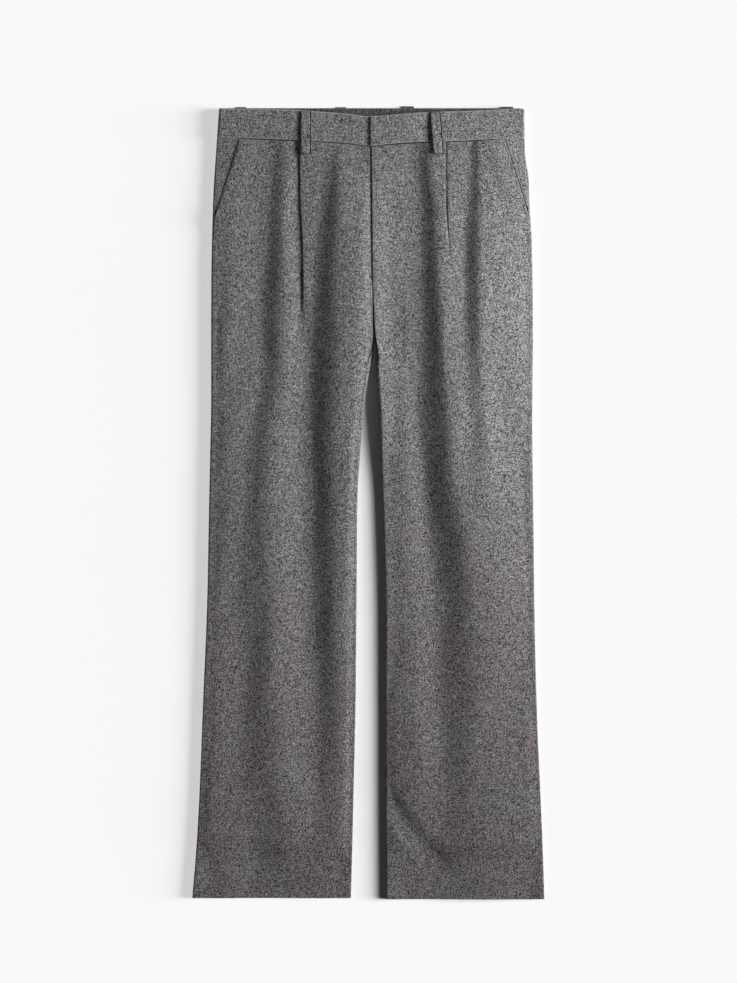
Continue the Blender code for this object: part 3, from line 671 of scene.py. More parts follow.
def front_place(leg, down, place):
    """(aside, height over lie()) of the front panel at a place along its own cloth."""
    start, depth, turn, bend, drop = pleat_shape(leg, down)
    keep = follow(leg.pleat, "keep", down)
    inner = front_inner(leg, down)
    top_aside = inner + (start - inner) * np.clip(place, 0, 1)
    top_height = drop * pleat_cover(leg, top_aside, down)
    first = turn * np.clip((place - 1) / BEND, 0, 1)
    last = turn * np.clip((2 - place) / BEND, 0, 1)
    straight = np.clip((place - RUN_START) / RUN, 0, 1)
    bend_aside = start + bend * np.sin(first) + straight * depth * np.cos(turn)
    bend_height = drop - bend * (1 - np.cos(first)) - straight * depth * np.sin(turn)
    second = place > RUN_END
    bend_aside = bend_aside + np.where(second, bend * (np.sin(turn) - np.sin(last)), 0)
    bend_height = bend_height - np.where(second, bend * (np.cos(last) - np.cos(turn)), 0)
    end = start + 2 * bend * np.sin(turn) + depth * np.cos(turn)
    low_aside = end + (front_side(leg, down) - end) * np.clip(place - 2, 0, 1)
    past_fold = low_aside - (start + bend + CLOTH / 2 + GAP)
    puff = drop * PUFF[leg.name] * smooth(past_fold, 0, PUFF_RISE) * (1 - smooth(past_fold, *PUFF_FALL))
    on_top, round_bends = place <= 1, place < 2
    aside = np.where(on_top, top_aside, np.where(round_bends, bend_aside, low_aside))
    height = np.where(on_top, top_height, np.where(round_bends, bend_height, puff))
    return aside, keep * height


fold = front_place(LEFT, np.array(100.0), np.array(1.0))[0]
print("left pleat's fold, mm aside at 100 mm down:", round(float(fold), 1))

# %% [markdown]
# The front of the waistband hardly folds, so its height is one number, with a step where its left end lies
# over the right one. A belt loop or a stitch then needs the upper face of whatever is beneath it: the
# band, or the panel with its pleat.

# %% How high the waistband and the finished front lie
BAND_FRONT_HEIGHT = 6.5
BAND_UNDERLAP = 40.0  # how far the right front of the band goes on under the left one
BAND_STEP = 2.3  # how much higher the band's left end lies on it
BAND_STEP_FADE = (8.0, 45.0)  # where that fades, past the underlap
BAND_DROP = 0.6  # and how much lower the underlap lies, from where it goes under
BAND_DROP_START = -16.0


def band_height(leg, across, down):
    """Mid-wall height of the front of the waistband, whose left end lies on the right one's."""
    height = BAND_FRONT_HEIGHT + creasing(BAND_CREASES, across, down)
    if leg is RIGHT:
        return height - BAND_DROP * smooth(across, BAND_DROP_START, 0)
    start, end = BAND_STEP_FADE
    return height + BAND_STEP * (1 - smooth(across, BAND_UNDERLAP + start, BAND_UNDERLAP + end))


def front_top(leg, across, down):
    """The upper face that a belt loop or a stitch lies on."""
    drop = pleat_shape(leg, down)[4]
    keep = follow(leg.pleat, "keep", down)
    cover = keep * pleat_cover(leg, leg.sign * across, down)
    cover = np.where(leg.sign * across > leg.sign * follow(leg.pleat, "edge", down), 0, cover)
    panel = lie(leg, across, down) + overlaps(leg, across, down) + drop * cover + CLOTH / 2
    return np.where(down < band_seam(across) + GAP, band_height(leg, across, down) + BAND / 2, panel)


beside_pleat = front_top(RIGHT, np.array([-95, -85]), 100)
print("upper face on both sides of the right pleat, mm high:", np.round(beside_pleat, 1))

# %% [markdown]
# ## From a grid to a shell of cloth
# A grid of points runs through the middle of the wall. Moving it out by half the wall on each side gives
# the two faces. A real folded or sewn edge is round, not square, so the wall thins towards its rim like
# the end of an ellipse, and both faces share the points of the rim: the shell is closed with no seam.
# Blender's Solidify modifier could do the first half, but not the round rim.

# %% Spread points so that they crowd at a rim
EDGE_STEPS = np.array([0, 0.08, 0.3, 0.7, 1.3])  # distances from a rim, in half walls
EVEN_FROM = 2.2  # and from where on the points are evenly spaced


def spread(start, end, step, half):
    """Places from start to end about a step apart, with a few close to each end to round the rim."""
    near = EDGE_STEPS * half
    inset = EVEN_FROM * half
    inner = np.linspace(start + inset, end - inset, max(2, round((end - start) / step)))
    return np.concatenate([start + near, inner, end - near[::-1]])


print("points across a belt loop, mm:", np.round(spread(-LOOP_WIDTH / 2, LOOP_WIDTH / 2, 3, LOOP / 2), 1))


# %% Find the rims of a grid
def unit(vectors):
    return vectors / np.linalg.norm(vectors, axis=-1, keepdims=True)


def rim_profile(points, first, last, ends):
    """How full the wall is at each grid point, how near a rim it is, and its place on the flat cloth.

    first, last and ends are the radii that round the first column, the last one, and the first and last
    rows. A folded edge has half the wall, and a butted seam almost nothing.
    """
    over = np.linalg.norm(np.diff(points, axis=1), axis=2)
    along = np.linalg.norm(np.diff(points, axis=0), axis=2)
    from_first = np.pad(np.cumsum(over, axis=1), ((0, 0), (1, 0)))
    from_top = np.pad(np.cumsum(along, axis=0), ((1, 0), (0, 0)))
    to_last = from_first[:, -1:] - from_first
    to_end = from_top[-1:] - from_top
    reaches = from_first / first, to_last / last, from_top / ends, to_end / ends
    nearest = np.minimum.reduce([np.clip(reach, 0, 1) for reach in reaches])
    return np.sqrt(1 - (1 - nearest) ** 2)[:, :, None], 1 - nearest, from_first, from_top


def quads(index):
    """The faces of a grid, as four corners each, from the number of every point."""
    corners = index[:-1, :-1], index[:-1, 1:], index[1:, 1:], index[1:, :-1]
    return np.stack([corner.ravel() for corner in corners], axis=1)


print("faces of a grid of 3 x 3 points:", len(quads(np.arange(9).reshape(3, 3))))


# %% Make an object at the origin
def new_object(name, data):
    made = bpy.data.objects.new(name, data)
    bpy.context.collection.objects.link(made)
    return made


def cloth_map(from_first, from_top):
    """The place of each point on the flat cloth, in metres, for both faces of the wall."""
    flat = np.dstack([from_first, from_top]) * MM
    return np.concatenate([flat.reshape(-1, 2), flat[1:-1, 1:-1].reshape(-1, 2)])


def mesh_piece(name, verts, faces, material, flat):
    data = bpy.data.meshes.new(name)
    data.from_pydata(verts.tolist(), [], faces.tolist())
    layer = data.uv_layers.new(name="flat cloth")
    loops = np.empty(len(data.loops), np.int32)
    data.loops.foreach_get("vertex_index", loops)
    layer.data.foreach_set("uv", flat[loops].astype(np.float32).ravel())
    data.materials.append(material)
    data.shade_smooth()
    print(f"{name}: {2 * len(faces)} triangles")
    return new_object(name, data)


# %% Give a grid its wall
def shell(name, grid, thick, material, above=0.0, below=0.0, first=None, last=None, rim_wear_and_light=1.0):
    """A closed wall of cloth round a grid of (across, down, height) points in mm.

    above and below thicken one face, first and last are the radii of the two side rims, and the last
    argument says how strongly the rims take on the material's rim colour: partly edge wear, partly a
    painted highlight, and on the belt loops a painted shade.
    """
    folded = thick / 2
    first = folded if first is None else first
    last = folded if last is None else last
    points = grid.copy()
    points[:, :, 1] = LENGTH / 2 - grid[:, :, 1]
    normal = unit(np.cross(np.gradient(points, axis=1), np.gradient(points, axis=0)))
    if normal[:, :, 2].sum() < 0:
        normal = -normal
    profile, along_rim, from_first, from_top = rim_profile(points, first, last, folded)
    upper = points + normal * profile * (thick / 2 + above)
    lower = points - normal * profile * (thick / 2 + below)
    rows, columns = grid.shape[:2]
    upper_index = np.arange(rows * columns).reshape(rows, columns)
    lower_index = upper_index.copy()
    inner_count = (rows - 2) * (columns - 2)
    lower_index[1:-1, 1:-1] = rows * columns + np.arange(inner_count).reshape(rows - 2, columns - 2)
    verts = np.concatenate([upper.reshape(-1, 3), lower[1:-1, 1:-1].reshape(-1, 3)]) * MM
    faces = np.concatenate([quads(upper_index), quads(lower_index)[:, ::-1]])
    a, b, c, d = (verts[faces[:, i]] for i in range(4))
    if (np.einsum("ij,ij->i", a, np.cross(b, c)) + np.einsum("ij,ij->i", a, np.cross(c, d))).sum() < 0:
        faces = faces[:, ::-1]
    piece = mesh_piece(name, verts, faces, material, cloth_map(from_first, from_top))
    # each point's share of the rim colour, which paints wear and a highlight, or shade on the belt loops
    rims = rim_wear_and_light * np.concatenate([along_rim.ravel(), along_rim[1:-1, 1:-1].ravel()])
    rim_wear_and_light_layer = piece.data.attributes.new("rim wear and painted light", "FLOAT", "POINT")
    rim_wear_and_light_layer.data.foreach_set("value", rims.astype(np.float32))
    quad = verts[quads(upper_index)]
    area = np.linalg.norm(np.cross(quad[:, 2] - quad[:, 0], quad[:, 3] - quad[:, 1]), axis=1).sum() / 2
    print(f"   flat {from_first.max():.0f} x {from_top.max():.0f} mm, {area:.4f} m2")
    return piece


# %% [markdown]
# ## The cloth itself
# Wool flannel is woven from carded yarn and then brushed, so its weave is half hidden under a short
# nap. The wool is dyed before it is spun, dark and pale fibres together, and this gives a salt-and-pepper
# grey and not an even one. Seen from a step away four things count: the speckle of dark and pale fibres;
# faint traces of the warp and the weft; broad patches where the mixture is slightly warmer; and pale rims,
# partly edge wear and partly a painted highlight where a folded edge would catch the light. An image of
# cloth would blur up close and repeat, so nodes draw all four, in millimetres.


# %% Colours and a node helper
def linear(hex_colour):
    """An sRGB hex colour as the linear values that Blender's sockets take."""
    channels = [int(hex_colour[i : i + 2], 16) / 255 for i in (1, 3, 5)]
    return (*[c / 12.92 if c <= 0.04045 else ((c + 0.055) / 1.055) ** 2.4 for c in channels], 1)


def add(tree, kind, settings=None, inputs=None):
    """Adds a node, sets its properties, and sets or links its inputs."""
    made = tree.nodes.new(kind)
    for key, value in (settings or {}).items():
        setattr(made, key, value)
    for socket, value in (inputs or {}).items():
        if isinstance(value, bpy.types.NodeSocket):
            tree.links.new(value, made.inputs[socket])
        else:
            made.inputs[socket].default_value = value
    return made


def per_metre(size_mm):
    """The texture scale whose features are this wide."""
    return 1 / (size_mm * MM)


print("mid grey as linear light:", [round(value, 3) for value in linear("#808080")])

# %% The measures of the flannel
SPECKLE = 0.6  # mm, one clump of pale or dark fibres; single fibres are too fine to show
CLUMP = 3.2  # mm, a looser gathering of them
YARN = 1.3  # mm between yarns; real flannel has about 0.6, too fine to show at this size
YARN_RUN = 12.0  # mm along which a slub in one yarn can be followed
PATCH = 85.0  # mm, where the mixture of the wool changes
NAP = 0.55  # mm between the tufts of the raised nap
NAP_HEIGHT = 0.25  # mm
NAP_STRENGTH = 0.35
WARM = "#fff1f2"  # what the warm patches are tinted with
WARM_FROM, WARM_TO = 0.1, -0.32  # m, along the leg, between which they grow
PATCH_RANGE = (0.35, 0.58)
WEAVE_SHARE = 0.35  # how much the traces of the yarns, and the clumps, add to the speckle
CLUMP_SHARE = 0.5
PALE_RANGE = (0.95, 1.6)  # the sum from which fibres start to be pale, and where they are fully so
# the pale rim colour is partly edge wear and partly a painted highlight; on the belt loops it is a painted
# shade
RIM_WEAR_AND_LIGHT_SHARE = 0.7  # how far the nap along a rim takes on the rim's colour
# a brushed nap is matt and scatters light; the fibres' keratin bends it by about 1.5, and the tips of the
# nap give a faint pale sheen where it is seen edge on
FINISH = {
    "Roughness": 0.92,
    "IOR": 1.5,
    "Specular IOR Level": 0.25,
    "Sheen Weight": 0.15,
    "Sheen Roughness": 0.45,
    "Sheen Tint": linear("#b9b7b6"),
}
print("speckle, features in a metre:", round(per_metre(SPECKLE)))


# %% Wool flannel
def wool_flannel(name, dark, pale, rim=None):
    """Carded wool, woven and brushed: speckled, with the weave half hidden. Rims turn pale as wear and
    painted highlight, or to rim as painted shade.
    """
    material = bpy.data.materials.new(name)
    material.use_nodes = True
    tree = material.node_tree
    shader = tree.nodes["Principled BSDF"]

    def maths(operation, *values):
        return add(tree, "ShaderNodeMath", {"operation": operation}, dict(enumerate(values))).outputs[0]

    def noise(vector, scale, detail=1.0, roughness=0.5):
        sizes = {"Vector": vector, "Scale": scale, "Detail": detail, "Roughness": roughness}
        return add(tree, "ShaderNodeTexNoise", {}, sizes).outputs["Fac"]

    def between(value, low, high, top=1.0):
        ends = {"Value": value, "From Min": low, "From Max": high, "To Max": top}
        return add(tree, "ShaderNodeMapRange", {}, ends).outputs[0]

    def mixed(blend, share, first, second):
        blending = {"data_type": "RGBA", "blend_type": blend}
        return add(tree, "ShaderNodeMix", blending, {0: share, 6: first, 7: second}).outputs[2]

    place = add(tree, "ShaderNodeTexCoord").outputs["Object"]
    flat = add(tree, "ShaderNodeTexCoord").outputs["UV"]
    speckle = add(tree, "ShaderNodeTexVoronoi", {}, {"Vector": place, "Scale": per_metre(SPECKLE)})
    shade = add(tree, "ShaderNodeSeparateColor", {}, {"Color": speckle.outputs["Color"]}).outputs[0]
    clump = noise(place, per_metre(CLUMP), 3.0, 0.7)
    traces = []
    for scale in ((per_metre(YARN), per_metre(YARN_RUN), 1), (per_metre(YARN_RUN), per_metre(YARN), 1)):
        stretched = add(tree, "ShaderNodeMapping", {}, {"Vector": flat, "Scale": scale})
        traces.append(noise(stretched.outputs[0], 1.0))
    weave = maths("ADD", *traces)
    mixture = maths("MULTIPLY_ADD", weave, WEAVE_SHARE, maths("MULTIPLY_ADD", clump, CLUMP_SHARE, shade))
    pale_share = between(mixture, *PALE_RANGE)
    wool = mixed("MIX", pale_share, linear(dark), linear(pale))
    along = add(tree, "ShaderNodeSeparateXYZ", {}, {0: place}).outputs[1]
    patches = between(noise(place, per_metre(PATCH), 3.0, 0.6), *PATCH_RANGE)
    warmth = maths("MULTIPLY", patches, between(along, WARM_FROM, WARM_TO))
    warmed = mixed("MULTIPLY", warmth, wool, linear(WARM))
    # the rims: pale for wear and a painted highlight, or dark for a painted shade
    rim_wear_and_light = add(tree, "ShaderNodeAttribute", {"attribute_name": "rim wear and painted light"}).outputs["Fac"]
    coloured = mixed("MIX", maths("MULTIPLY", rim_wear_and_light, RIM_WEAR_AND_LIGHT_SHARE), warmed, linear(rim or pale))
    raised = maths("MULTIPLY_ADD", shade, 0.5, noise(place, per_metre(NAP), 2.0, 0.6))
    relief = {"Strength": NAP_STRENGTH, "Distance": NAP_HEIGHT * MM, "Height": raised}
    bump = add(tree, "ShaderNodeBump", {}, relief)
    tree.links.new(coloured, shader.inputs["Base Color"])
    tree.links.new(bump.outputs[0], shader.inputs["Normal"])
    for socket, value in FINISH.items():
        shader.inputs[socket].default_value = value
    print("material:", name)
    return material


# the same wool everywhere: paler where canvas holds it flat; a darker copy is painted shade for the inside
# of the back band and the tips of the back loops; a loop's pressed edge gets a dark rim colour as painted
# shade
panel_flannel = wool_flannel("wool flannel, brushed", "#0d0d0d", "#acabab")
band_flannel = wool_flannel("wool flannel, pressed on canvas", "#0f0f0f", "#b5b4b4")
shade_painted_flannel = wool_flannel("wool flannel, darkened as painted shade", "#080808", "#7d7c7c")
loop_flannel_shaded_rims = wool_flannel("wool flannel, folded in three", "#0f0f0f", "#b5b4b4", rim="#121212")

# %% [markdown]
# ## The two front panels
# The biggest pieces, and the ones with everything on them: the pleat, the folds, the slanted pocket edge
# and the fly. The rows follow the waistband's seam at the top and the hem at the bottom, and between
# them run straight across. The hem is turned up inside, so the wall is thicker there on its lower face.


# %% The rows and columns of a front panel
FIRST_STATION, LAST_STATION = 48, 1053
LEVEL_END = 120  # rows follow the waistband's seam above here
HEM_START = 950  # and the hem below here
BAND_SEAM_GAP = 1.5  # between the waistband and the panels, where the seam draws both in
ROW_STEP = 3.05
PANEL_WIDTH = 95.0  # of the sheet on each side of the pleat, to space the columns near the rims
FRONT_ROWS = spread(FIRST_STATION, LAST_STATION, ROW_STEP, CLOTH / 2)
RIM_SHARES = EDGE_STEPS * CLOTH / 2 / PANEL_WIDTH
PAST_FOLD = np.array([0, 0.35, 0.7, 1.1, 1.5, 2.0, 2.6, 3.4, 4.4, 5.6])  # columns close beside the fold
ON_TOP = np.linspace(0.022, 0.988, 50)
ROUND_THE_PLEAT = np.linspace(0, 1, 15)[:-1]
BELOW = np.linspace(0.078, 0.978, 44)
FRONT_PLACES = np.concatenate(
    [RIM_SHARES, ON_TOP, 1 + ROUND_THE_PLEAT, 2 + PAST_FOLD / PANEL_WIDTH, 2 + BELOW, 3 - RIM_SHARES[::-1]]
)
print("a front panel's grid:", len(FRONT_ROWS), "x", len(FRONT_PLACES), "points")


# %% Lay out a front panel
def grid_down(station, across, hem):
    """The place of a section along the leg: the first follows the waistband's seam, the last the hem."""
    top = band_seam(across) + BAND_SEAM_GAP - FIRST_STATION
    level = 1 - smooth(station, FIRST_STATION, LEVEL_END)
    return station + top * level + (hem - LAST_STATION) * smooth(station, HEM_START, LAST_STATION)


def front_grid(leg):
    station = np.repeat(FRONT_ROWS[:, None], len(FRONT_PLACES), axis=1)
    place = np.repeat(FRONT_PLACES[None, :], len(FRONT_ROWS), axis=0)
    aside, _ = front_place(leg, station, place)
    down = grid_down(station, leg.sign * aside, leg.hem)
    aside, above = front_place(leg, down, place)
    across = leg.sign * aside
    base = lie(leg, across, down)
    if leg is RIGHT:
        under_fly = across > follow(leg.sections, "inner", down)
        base = np.where(under_fly, lie(LEFT, across, down), base)
    return np.dstack([across, down, base + above + overlaps(leg, across, down)])


grids = {leg.name: front_grid(leg) for leg in LEGS}
print("highest points, mm:", {name: round(float(grid[:, :, 2].max()), 1) for name, grid in grids.items()})

# %% Front panels
TURN_UP = 0.8  # what the hem's turned-up layer adds inside the leg
TURN_UP_DEPTH = 38.0
SEAM_ROUNDING = {"right": BUTTED, "left": 0.35}  # the left side seam has sprung a little


def turn_up(grid, hem):
    """The doubled cloth inside the hem."""
    return TURN_UP * smooth(grid[:, :, 1:2], hem - TURN_UP_DEPTH - 1, hem - TURN_UP_DEPTH)


def seam_rounding(down, end, radius):
    """Half the wall along a folded edge, down to where it ends, and then the seam's own rounding."""
    return CLOTH / 2 + (radius - CLOTH / 2) * smooth(down, end, end + SLANT_JOIN)


cloth = {}
for leg in LEGS:
    grid = grids[leg.name]
    rows_down = grid[:, :1, 1]
    side = seam_rounding(rows_down, leg.slant[-1].down, SEAM_ROUNDING[leg.name])
    centre = seam_rounding(rows_down, FLY_LOW, BUTTED)
    doubled = turn_up(grid, leg.hem)
    name = f"front_panel_{leg.name}"
    cloth[name] = shell(name + "_cloth", grid, CLOTH, panel_flannel, below=doubled, first=centre, last=side)
print("front panels:", list(cloth))

# %% [markdown]
# ## The two back panels
# They lie flat on the table, so most of what shows of them is the soft turn of cloth at the side seams
# and along the inside legs, where the back comes round to meet the front. Each row of the grid is a half
# turn, a straight line and another half turn. Above the crotch the inner turn opens flat instead, as the
# cloth there ends at the centre seam. A flat panel with a bevelled edge would be simpler, but the turn is
# as high as the whole leg, so it has to be part of the cloth.

# %% A half turn of cloth
ROLL_ANGLES = np.linspace(-np.pi / 2, np.pi / 2, 11)
RIM_ANGLES = EDGE_STEPS[1:-1] * 0.25  # a few more close to the rim of a roll, in radians


def roll(edge, low, high, outward, thick):
    """A half turn from the lower layer up round a folded edge, as aside and height, one column each."""
    radius = (high - low) / 2
    centre = edge - outward * (radius + thick / 2)
    angles = np.unique(np.concatenate([ROLL_ANGLES, np.pi / 2 - RIM_ANGLES]))
    return centre + outward * radius * np.cos(angles), low + radius * (1 + np.sin(angles))


print("points round a half turn:", len(roll(0.0, 0.0, 5.0, 1, CLOTH)[0]))

# %% Lay out a back panel
BACK_TOP = 43.0
BACK_ROWS = spread(BACK_TOP, LAST_STATION, 6.0, CLOTH / 2)
BACK_COLUMNS = 34  # between the two turns
TUCK = 6.0  # above the crotch, the width of flat cloth that becomes the inner turn further down
TUCK_CROWDING = 0.8  # its columns stand a little closer towards the seam


def back_grid(leg):
    down = BACK_ROWS + (leg.hem - LAST_STATION) * smooth(BACK_ROWS, HEM_START, LAST_STATION)
    down = down[:, None]
    low = back_height(down)
    side = leg.sign * follow(leg.sections, "side", down)
    inner = leg.sign * follow(leg.sections, "inner", down)
    outer_aside, outer_height = roll(side, low, seam_height(down), 1, CLOTH)
    inner_aside, inner_height = roll(inner, low, inner_seam_height(leg, down), -1, CLOTH)
    share = open_leg(down)
    steps = np.linspace(0, 1, inner_aside.shape[1]) ** TUCK_CROWDING
    flat_aside = inner + GAP / 2 + TUCK * (1 - steps)
    inner_aside = (1 - share) * flat_aside + share * inner_aside
    inner_height = (1 - share) * low + share * inner_height
    start, end = inner_aside[:, :1], outer_aside[:, :1]
    between = start + (end - start) * np.linspace(0, 1, BACK_COLUMNS)[1:-1]
    aside = np.concatenate([inner_aside[:, ::-1], between, outer_aside], axis=1)
    height = np.concatenate([inner_height[:, ::-1], low + 0 * between, outer_height], axis=1)
    across = leg.sign * aside
    down = down + 0 * across
    return np.dstack([across, down, height + creasing(BACK_CREASES, across, down)])


print("a back panel's grid:", back_grid(RIGHT).shape[:2], "points")

# %% Back panels
for leg in LEGS:
    grid = back_grid(leg)
    centre = seam_rounding(grid[:, :1, 1], CROTCH_START, BUTTED)
    doubled = turn_up(grid, leg.hem)
    name = f"back_panel_{leg.name}"
    cloth[name] = shell(name + "_cloth", grid, CLOTH, panel_flannel, above=doubled, first=centre, last=BUTTED)
print("pieces so far:", len(cloth))

# %% [markdown]
# ## The pocket facings
# Behind each slanted pocket edge is a piece of the same cloth, so that no lining shows when the pocket
# gapes. It shows only as a narrow triangle, and goes on a little way under the front. It could be cut out
# of the front panel, but a pocket's edge is open. So it is a sheet of its own between two lines, its
# hidden edge and the side seam, at the height that the front would have there without it.


# %% Pocket facings
FACING_TOP = 43.0
FACING_SHORT = 2.0  # it ends this much above the end of the slant
FACING_WIDTH = 30.0  # to space its columns near the rims
FACING_SWELL = {"right": 0.0, "left": 1.1}  # how far the facing swells up beside the pocket's edge
SWELL_RISE = 1.6  # mm over which it swells
SWELL_FALL = (4.0, 18.0)  # and over which it sinks again


def facing_grid(leg):
    end = leg.slant[-1].down - FACING_SHORT
    station = spread(FACING_TOP, end, 3.0, CLOTH / 2)[:, None]
    share = spread(0, 1, 0.03, CLOTH / 2 / FACING_WIDTH)[None, :]
    down = station + 0 * share
    seam = side_seam(leg, down)
    hidden = leg.sign * follow(leg.slant, "across", down) - POCKET_UNDERLAP
    across = leg.sign * (hidden + (seam - hidden) * share)
    top = band_seam(across) + GAP
    placed = top + (end - top) * (station - FACING_TOP) / (end - FACING_TOP)
    past_slant = leg.sign * (across - follow(leg.slant, "across", placed)) - GAP
    swell = FACING_SWELL[leg.name] * smooth(past_slant, 0, SWELL_RISE) * (1 - smooth(past_slant, *SWELL_FALL))
    return np.dstack([across, placed, lie(leg, across, placed) + swell])


for leg in LEGS:
    name = f"pocket_facing_{leg.name}"
    cloth[name] = shell(name + "_cloth", facing_grid(leg), CLOTH, panel_flannel)
print("pieces so far:", len(cloth))

# %% [markdown]
# ## The waistband
# Two layers of flannel over a strip of canvas, so it is the stiffest part and stays almost flat. It is
# three pieces here: two in front, of which the left one lies on the right one at the fly, and one behind
# that comes round both sides. The front's top edge dips towards the fly, as its table says. A bent box
# would have to be cut to the panels' curved seam, so each one is a grid between its top edge and that seam.


# %% The outline of the waistband
CORNER_REACH = 5.0  # mm from the side over which the band's top corner rounds off
CORNER_DROP = {"right": 0.9, "left": 3.0}
BAND_DEPTH = 39.0  # to space its rows near the rims
BAND_SHARES = spread(0, 1, 0.07, BAND / 2 / BAND_DEPTH)[:, None]


def band_side(leg, down):
    """The band's outline, which widens towards its seam as the hip does."""
    return leg.sign * follow(leg.sections, "side", down)


def corner(leg, aside, down):
    """How far the band's top edge falls at its side."""
    inward = band_side(leg, down) - aside
    return CORNER_DROP[leg.name] * (1 - np.clip(inward / CORNER_REACH, 0, 1)) ** 2


print("the band's left top corner falls, mm:", float(corner(LEFT, band_side(LEFT, 10.0), 10.0)))

# %% The front of the waistband
BAND_BACK_HEIGHT = LOOP_CLEARANCE + BAND / 2
BAND_EDGE = 2.9  # the left end of the band's front, flush with the edge of the fly
BAND_JOINT = 0.1  # where the front of the band meets the back, which on the real one is one strip
BAND_WIDTH = 200.0  # to space its columns near the rims


def band_front_grid(leg):
    radius = (BAND_FRONT_HEIGHT - BAND_BACK_HEIGHT) / 2
    fly = BAND_UNDERLAP if leg is RIGHT else BAND_EDGE
    reach = spread(0, 1, 0.014, BAND / 2 / BAND_WIDTH)[None, :]
    down = BAND_BACK_TOP + (BAND_BACK_SEAM - BAND_BACK_TOP) * BAND_SHARES + 0 * reach
    for _ in range(2):  # twice, because the outline depends on the place down, and that on the outline
        side = leg.sign * (band_side(leg, down) - radius - BAND / 2 - BAND_JOINT)
        across = fly + (side - fly) * reach
        top = follow(BAND_FRONT, "top", across, "across") + corner(leg, leg.sign * across, down)
        down = top + (band_seam(across) - top) * BAND_SHARES
    return np.dstack([across, down, band_height(leg, across, down)])


for leg in LEGS:
    name = f"waistband_front_{leg.name}"
    cloth[name] = shell(name + "_cloth", band_front_grid(leg), BAND, band_flannel, last=BUTTED)
print("pieces so far:", len(cloth))

# %% The back of the waistband
BAND_BACK_COLUMNS = 102


def band_back_grid():
    down = BAND_BACK_TOP + (BAND_BACK_SEAM - BAND_BACK_TOP) * BAND_SHARES
    right = roll(band_side(RIGHT, down), BAND_BACK_HEIGHT, BAND_FRONT_HEIGHT, 1, BAND)
    left = roll(band_side(LEFT, down), BAND_BACK_HEIGHT, BAND_FRONT_HEIGHT, 1, BAND)
    start, end = -right[0][:, :1], left[0][:, :1]
    middle = start + (end - start) * np.linspace(0, 1, BAND_BACK_COLUMNS)[None, 1:-1]
    across = np.concatenate([-right[0][:, ::-1], middle, left[0]], axis=1)
    high = [np.broadcast_to(side[1], side[0].shape) for side in (right, left)]
    height = np.concatenate([high[0][:, ::-1], BAND_BACK_HEIGHT + 0 * middle, high[1]], axis=1)
    down = down + 0 * across
    falls = corner(RIGHT, -across, down) + corner(LEFT, across, down)
    return np.dstack([across, down + falls * (1 - BAND_SHARES), height])


name = "waistband_back"
cloth[name] = shell(name + "_cloth", band_back_grid(), BAND, band_flannel, first=BUTTED, last=BUTTED)
print("pieces so far:", len(cloth))

# %% [markdown]
# Past the front edge of the waist the inside of the back band shows, in shade. Its upward faces get a
# darker copy of the flannel, which paints that shade. A second material on the same mesh does that with no
# extra piece.

# %% The inside of the waistband
INSIDE_MARGIN = 9.0  # from the outline to where the inside starts
back_band = cloth["waistband_back"].data
back_band.materials.append(shade_painted_flannel)
inside_ends = RIGHT_SECTIONS[0].side + INSIDE_MARGIN, LEFT_SECTIONS[0].side - INSIDE_MARGIN
# the upward faces of the inside take the darker flannel, as painted shade
for face in back_band.polygons:
    if face.normal.z > 0 and inside_ends[0] < face.center.x / MM < inside_ends[1]:
        face.material_index = 1
print("faces inside the band:", sum(face.material_index for face in back_band.polygons))

# %% [markdown]
# ## The belt loops
# Six narrow strips, folded in three, pressed and stitched along their edges. Two stand on the front,
# and the other four lie under the back of the waist, with only their tops showing past its edge. A loop
# is stiff, so it doesn't follow what is beneath: it runs straight from end to end, bows a little, and
# lies on whatever reaches up to it. The rows of stitches pull it in, which gives it two shallow channels.


# %% The columns of a belt loop
STITCH_INSET = 1.4  # mm from a loop's edge to its row of stitches
STITCH_LINE = LOOP_WIDTH / 2 - STITCH_INSET
CHANNEL_DEPTH, CHANNEL_HALF = 0.8, 0.9  # how far the stitches pull the cloth in, and half that width
ALONG_ROWS = np.linspace(-1, 1, 9)[:, None] * CHANNEL_HALF + np.array([-1, 1]) * STITCH_LINE
PLAIN_COLUMNS = spread(-LOOP_WIDTH / 2, LOOP_WIDTH / 2, 1.0, LOOP / 2)
LOOP_COLUMNS = np.sort(np.concatenate([PLAIN_COLUMNS, ALONG_ROWS.ravel()]))
print("columns across a front loop:", len(LOOP_COLUMNS))

# %% Where a front loop lies
LOOP_BOW = 1.2  # how far it bows up between its ends
LOOP_FOOT = 2.0  # how much higher the loop stands where its end is folded under
FOOT_RANGE = (0.8, 0.92)  # the shares of its length over which it steps up
LOOP_SPAN = 57.0  # to space its rows near the rims
LOOP_RIM = 1.3  # the radius of its folded sides
# the loop's dark rim colour is a painted shade along its pressed edges
LOOP_SHADE = 3.5  # how strongly its rims take on the dark rim colour


def front_loop(leg, share, reach):
    """(across, down, height) of a front loop, at a share of its length and a reach from its middle."""
    top, bottom = FRONT_LOOPS[leg.name]
    across = top.across + (bottom.across - top.across) * share + reach
    down = top.down + (bottom.down - top.down) * share + 0 * reach
    edges = np.linspace(-LOOP_WIDTH / 2, LOOP_WIDTH / 2, 15)[None, :]
    beneath_across = top.across + (bottom.across - top.across) * share + edges
    beneath = front_top(leg, beneath_across, down[:, :1] + 0 * edges).max(axis=1, keepdims=True)
    support = beneath + GAP + LOOP / 2
    line = support[0] + (support[-1] - support[0]) * share + LOOP_BOW * np.sin(np.pi * share)
    foot = LOOP_FOOT * smooth(share, *FOOT_RANGE)
    return across, down, np.maximum(line, support) + foot + 0 * reach


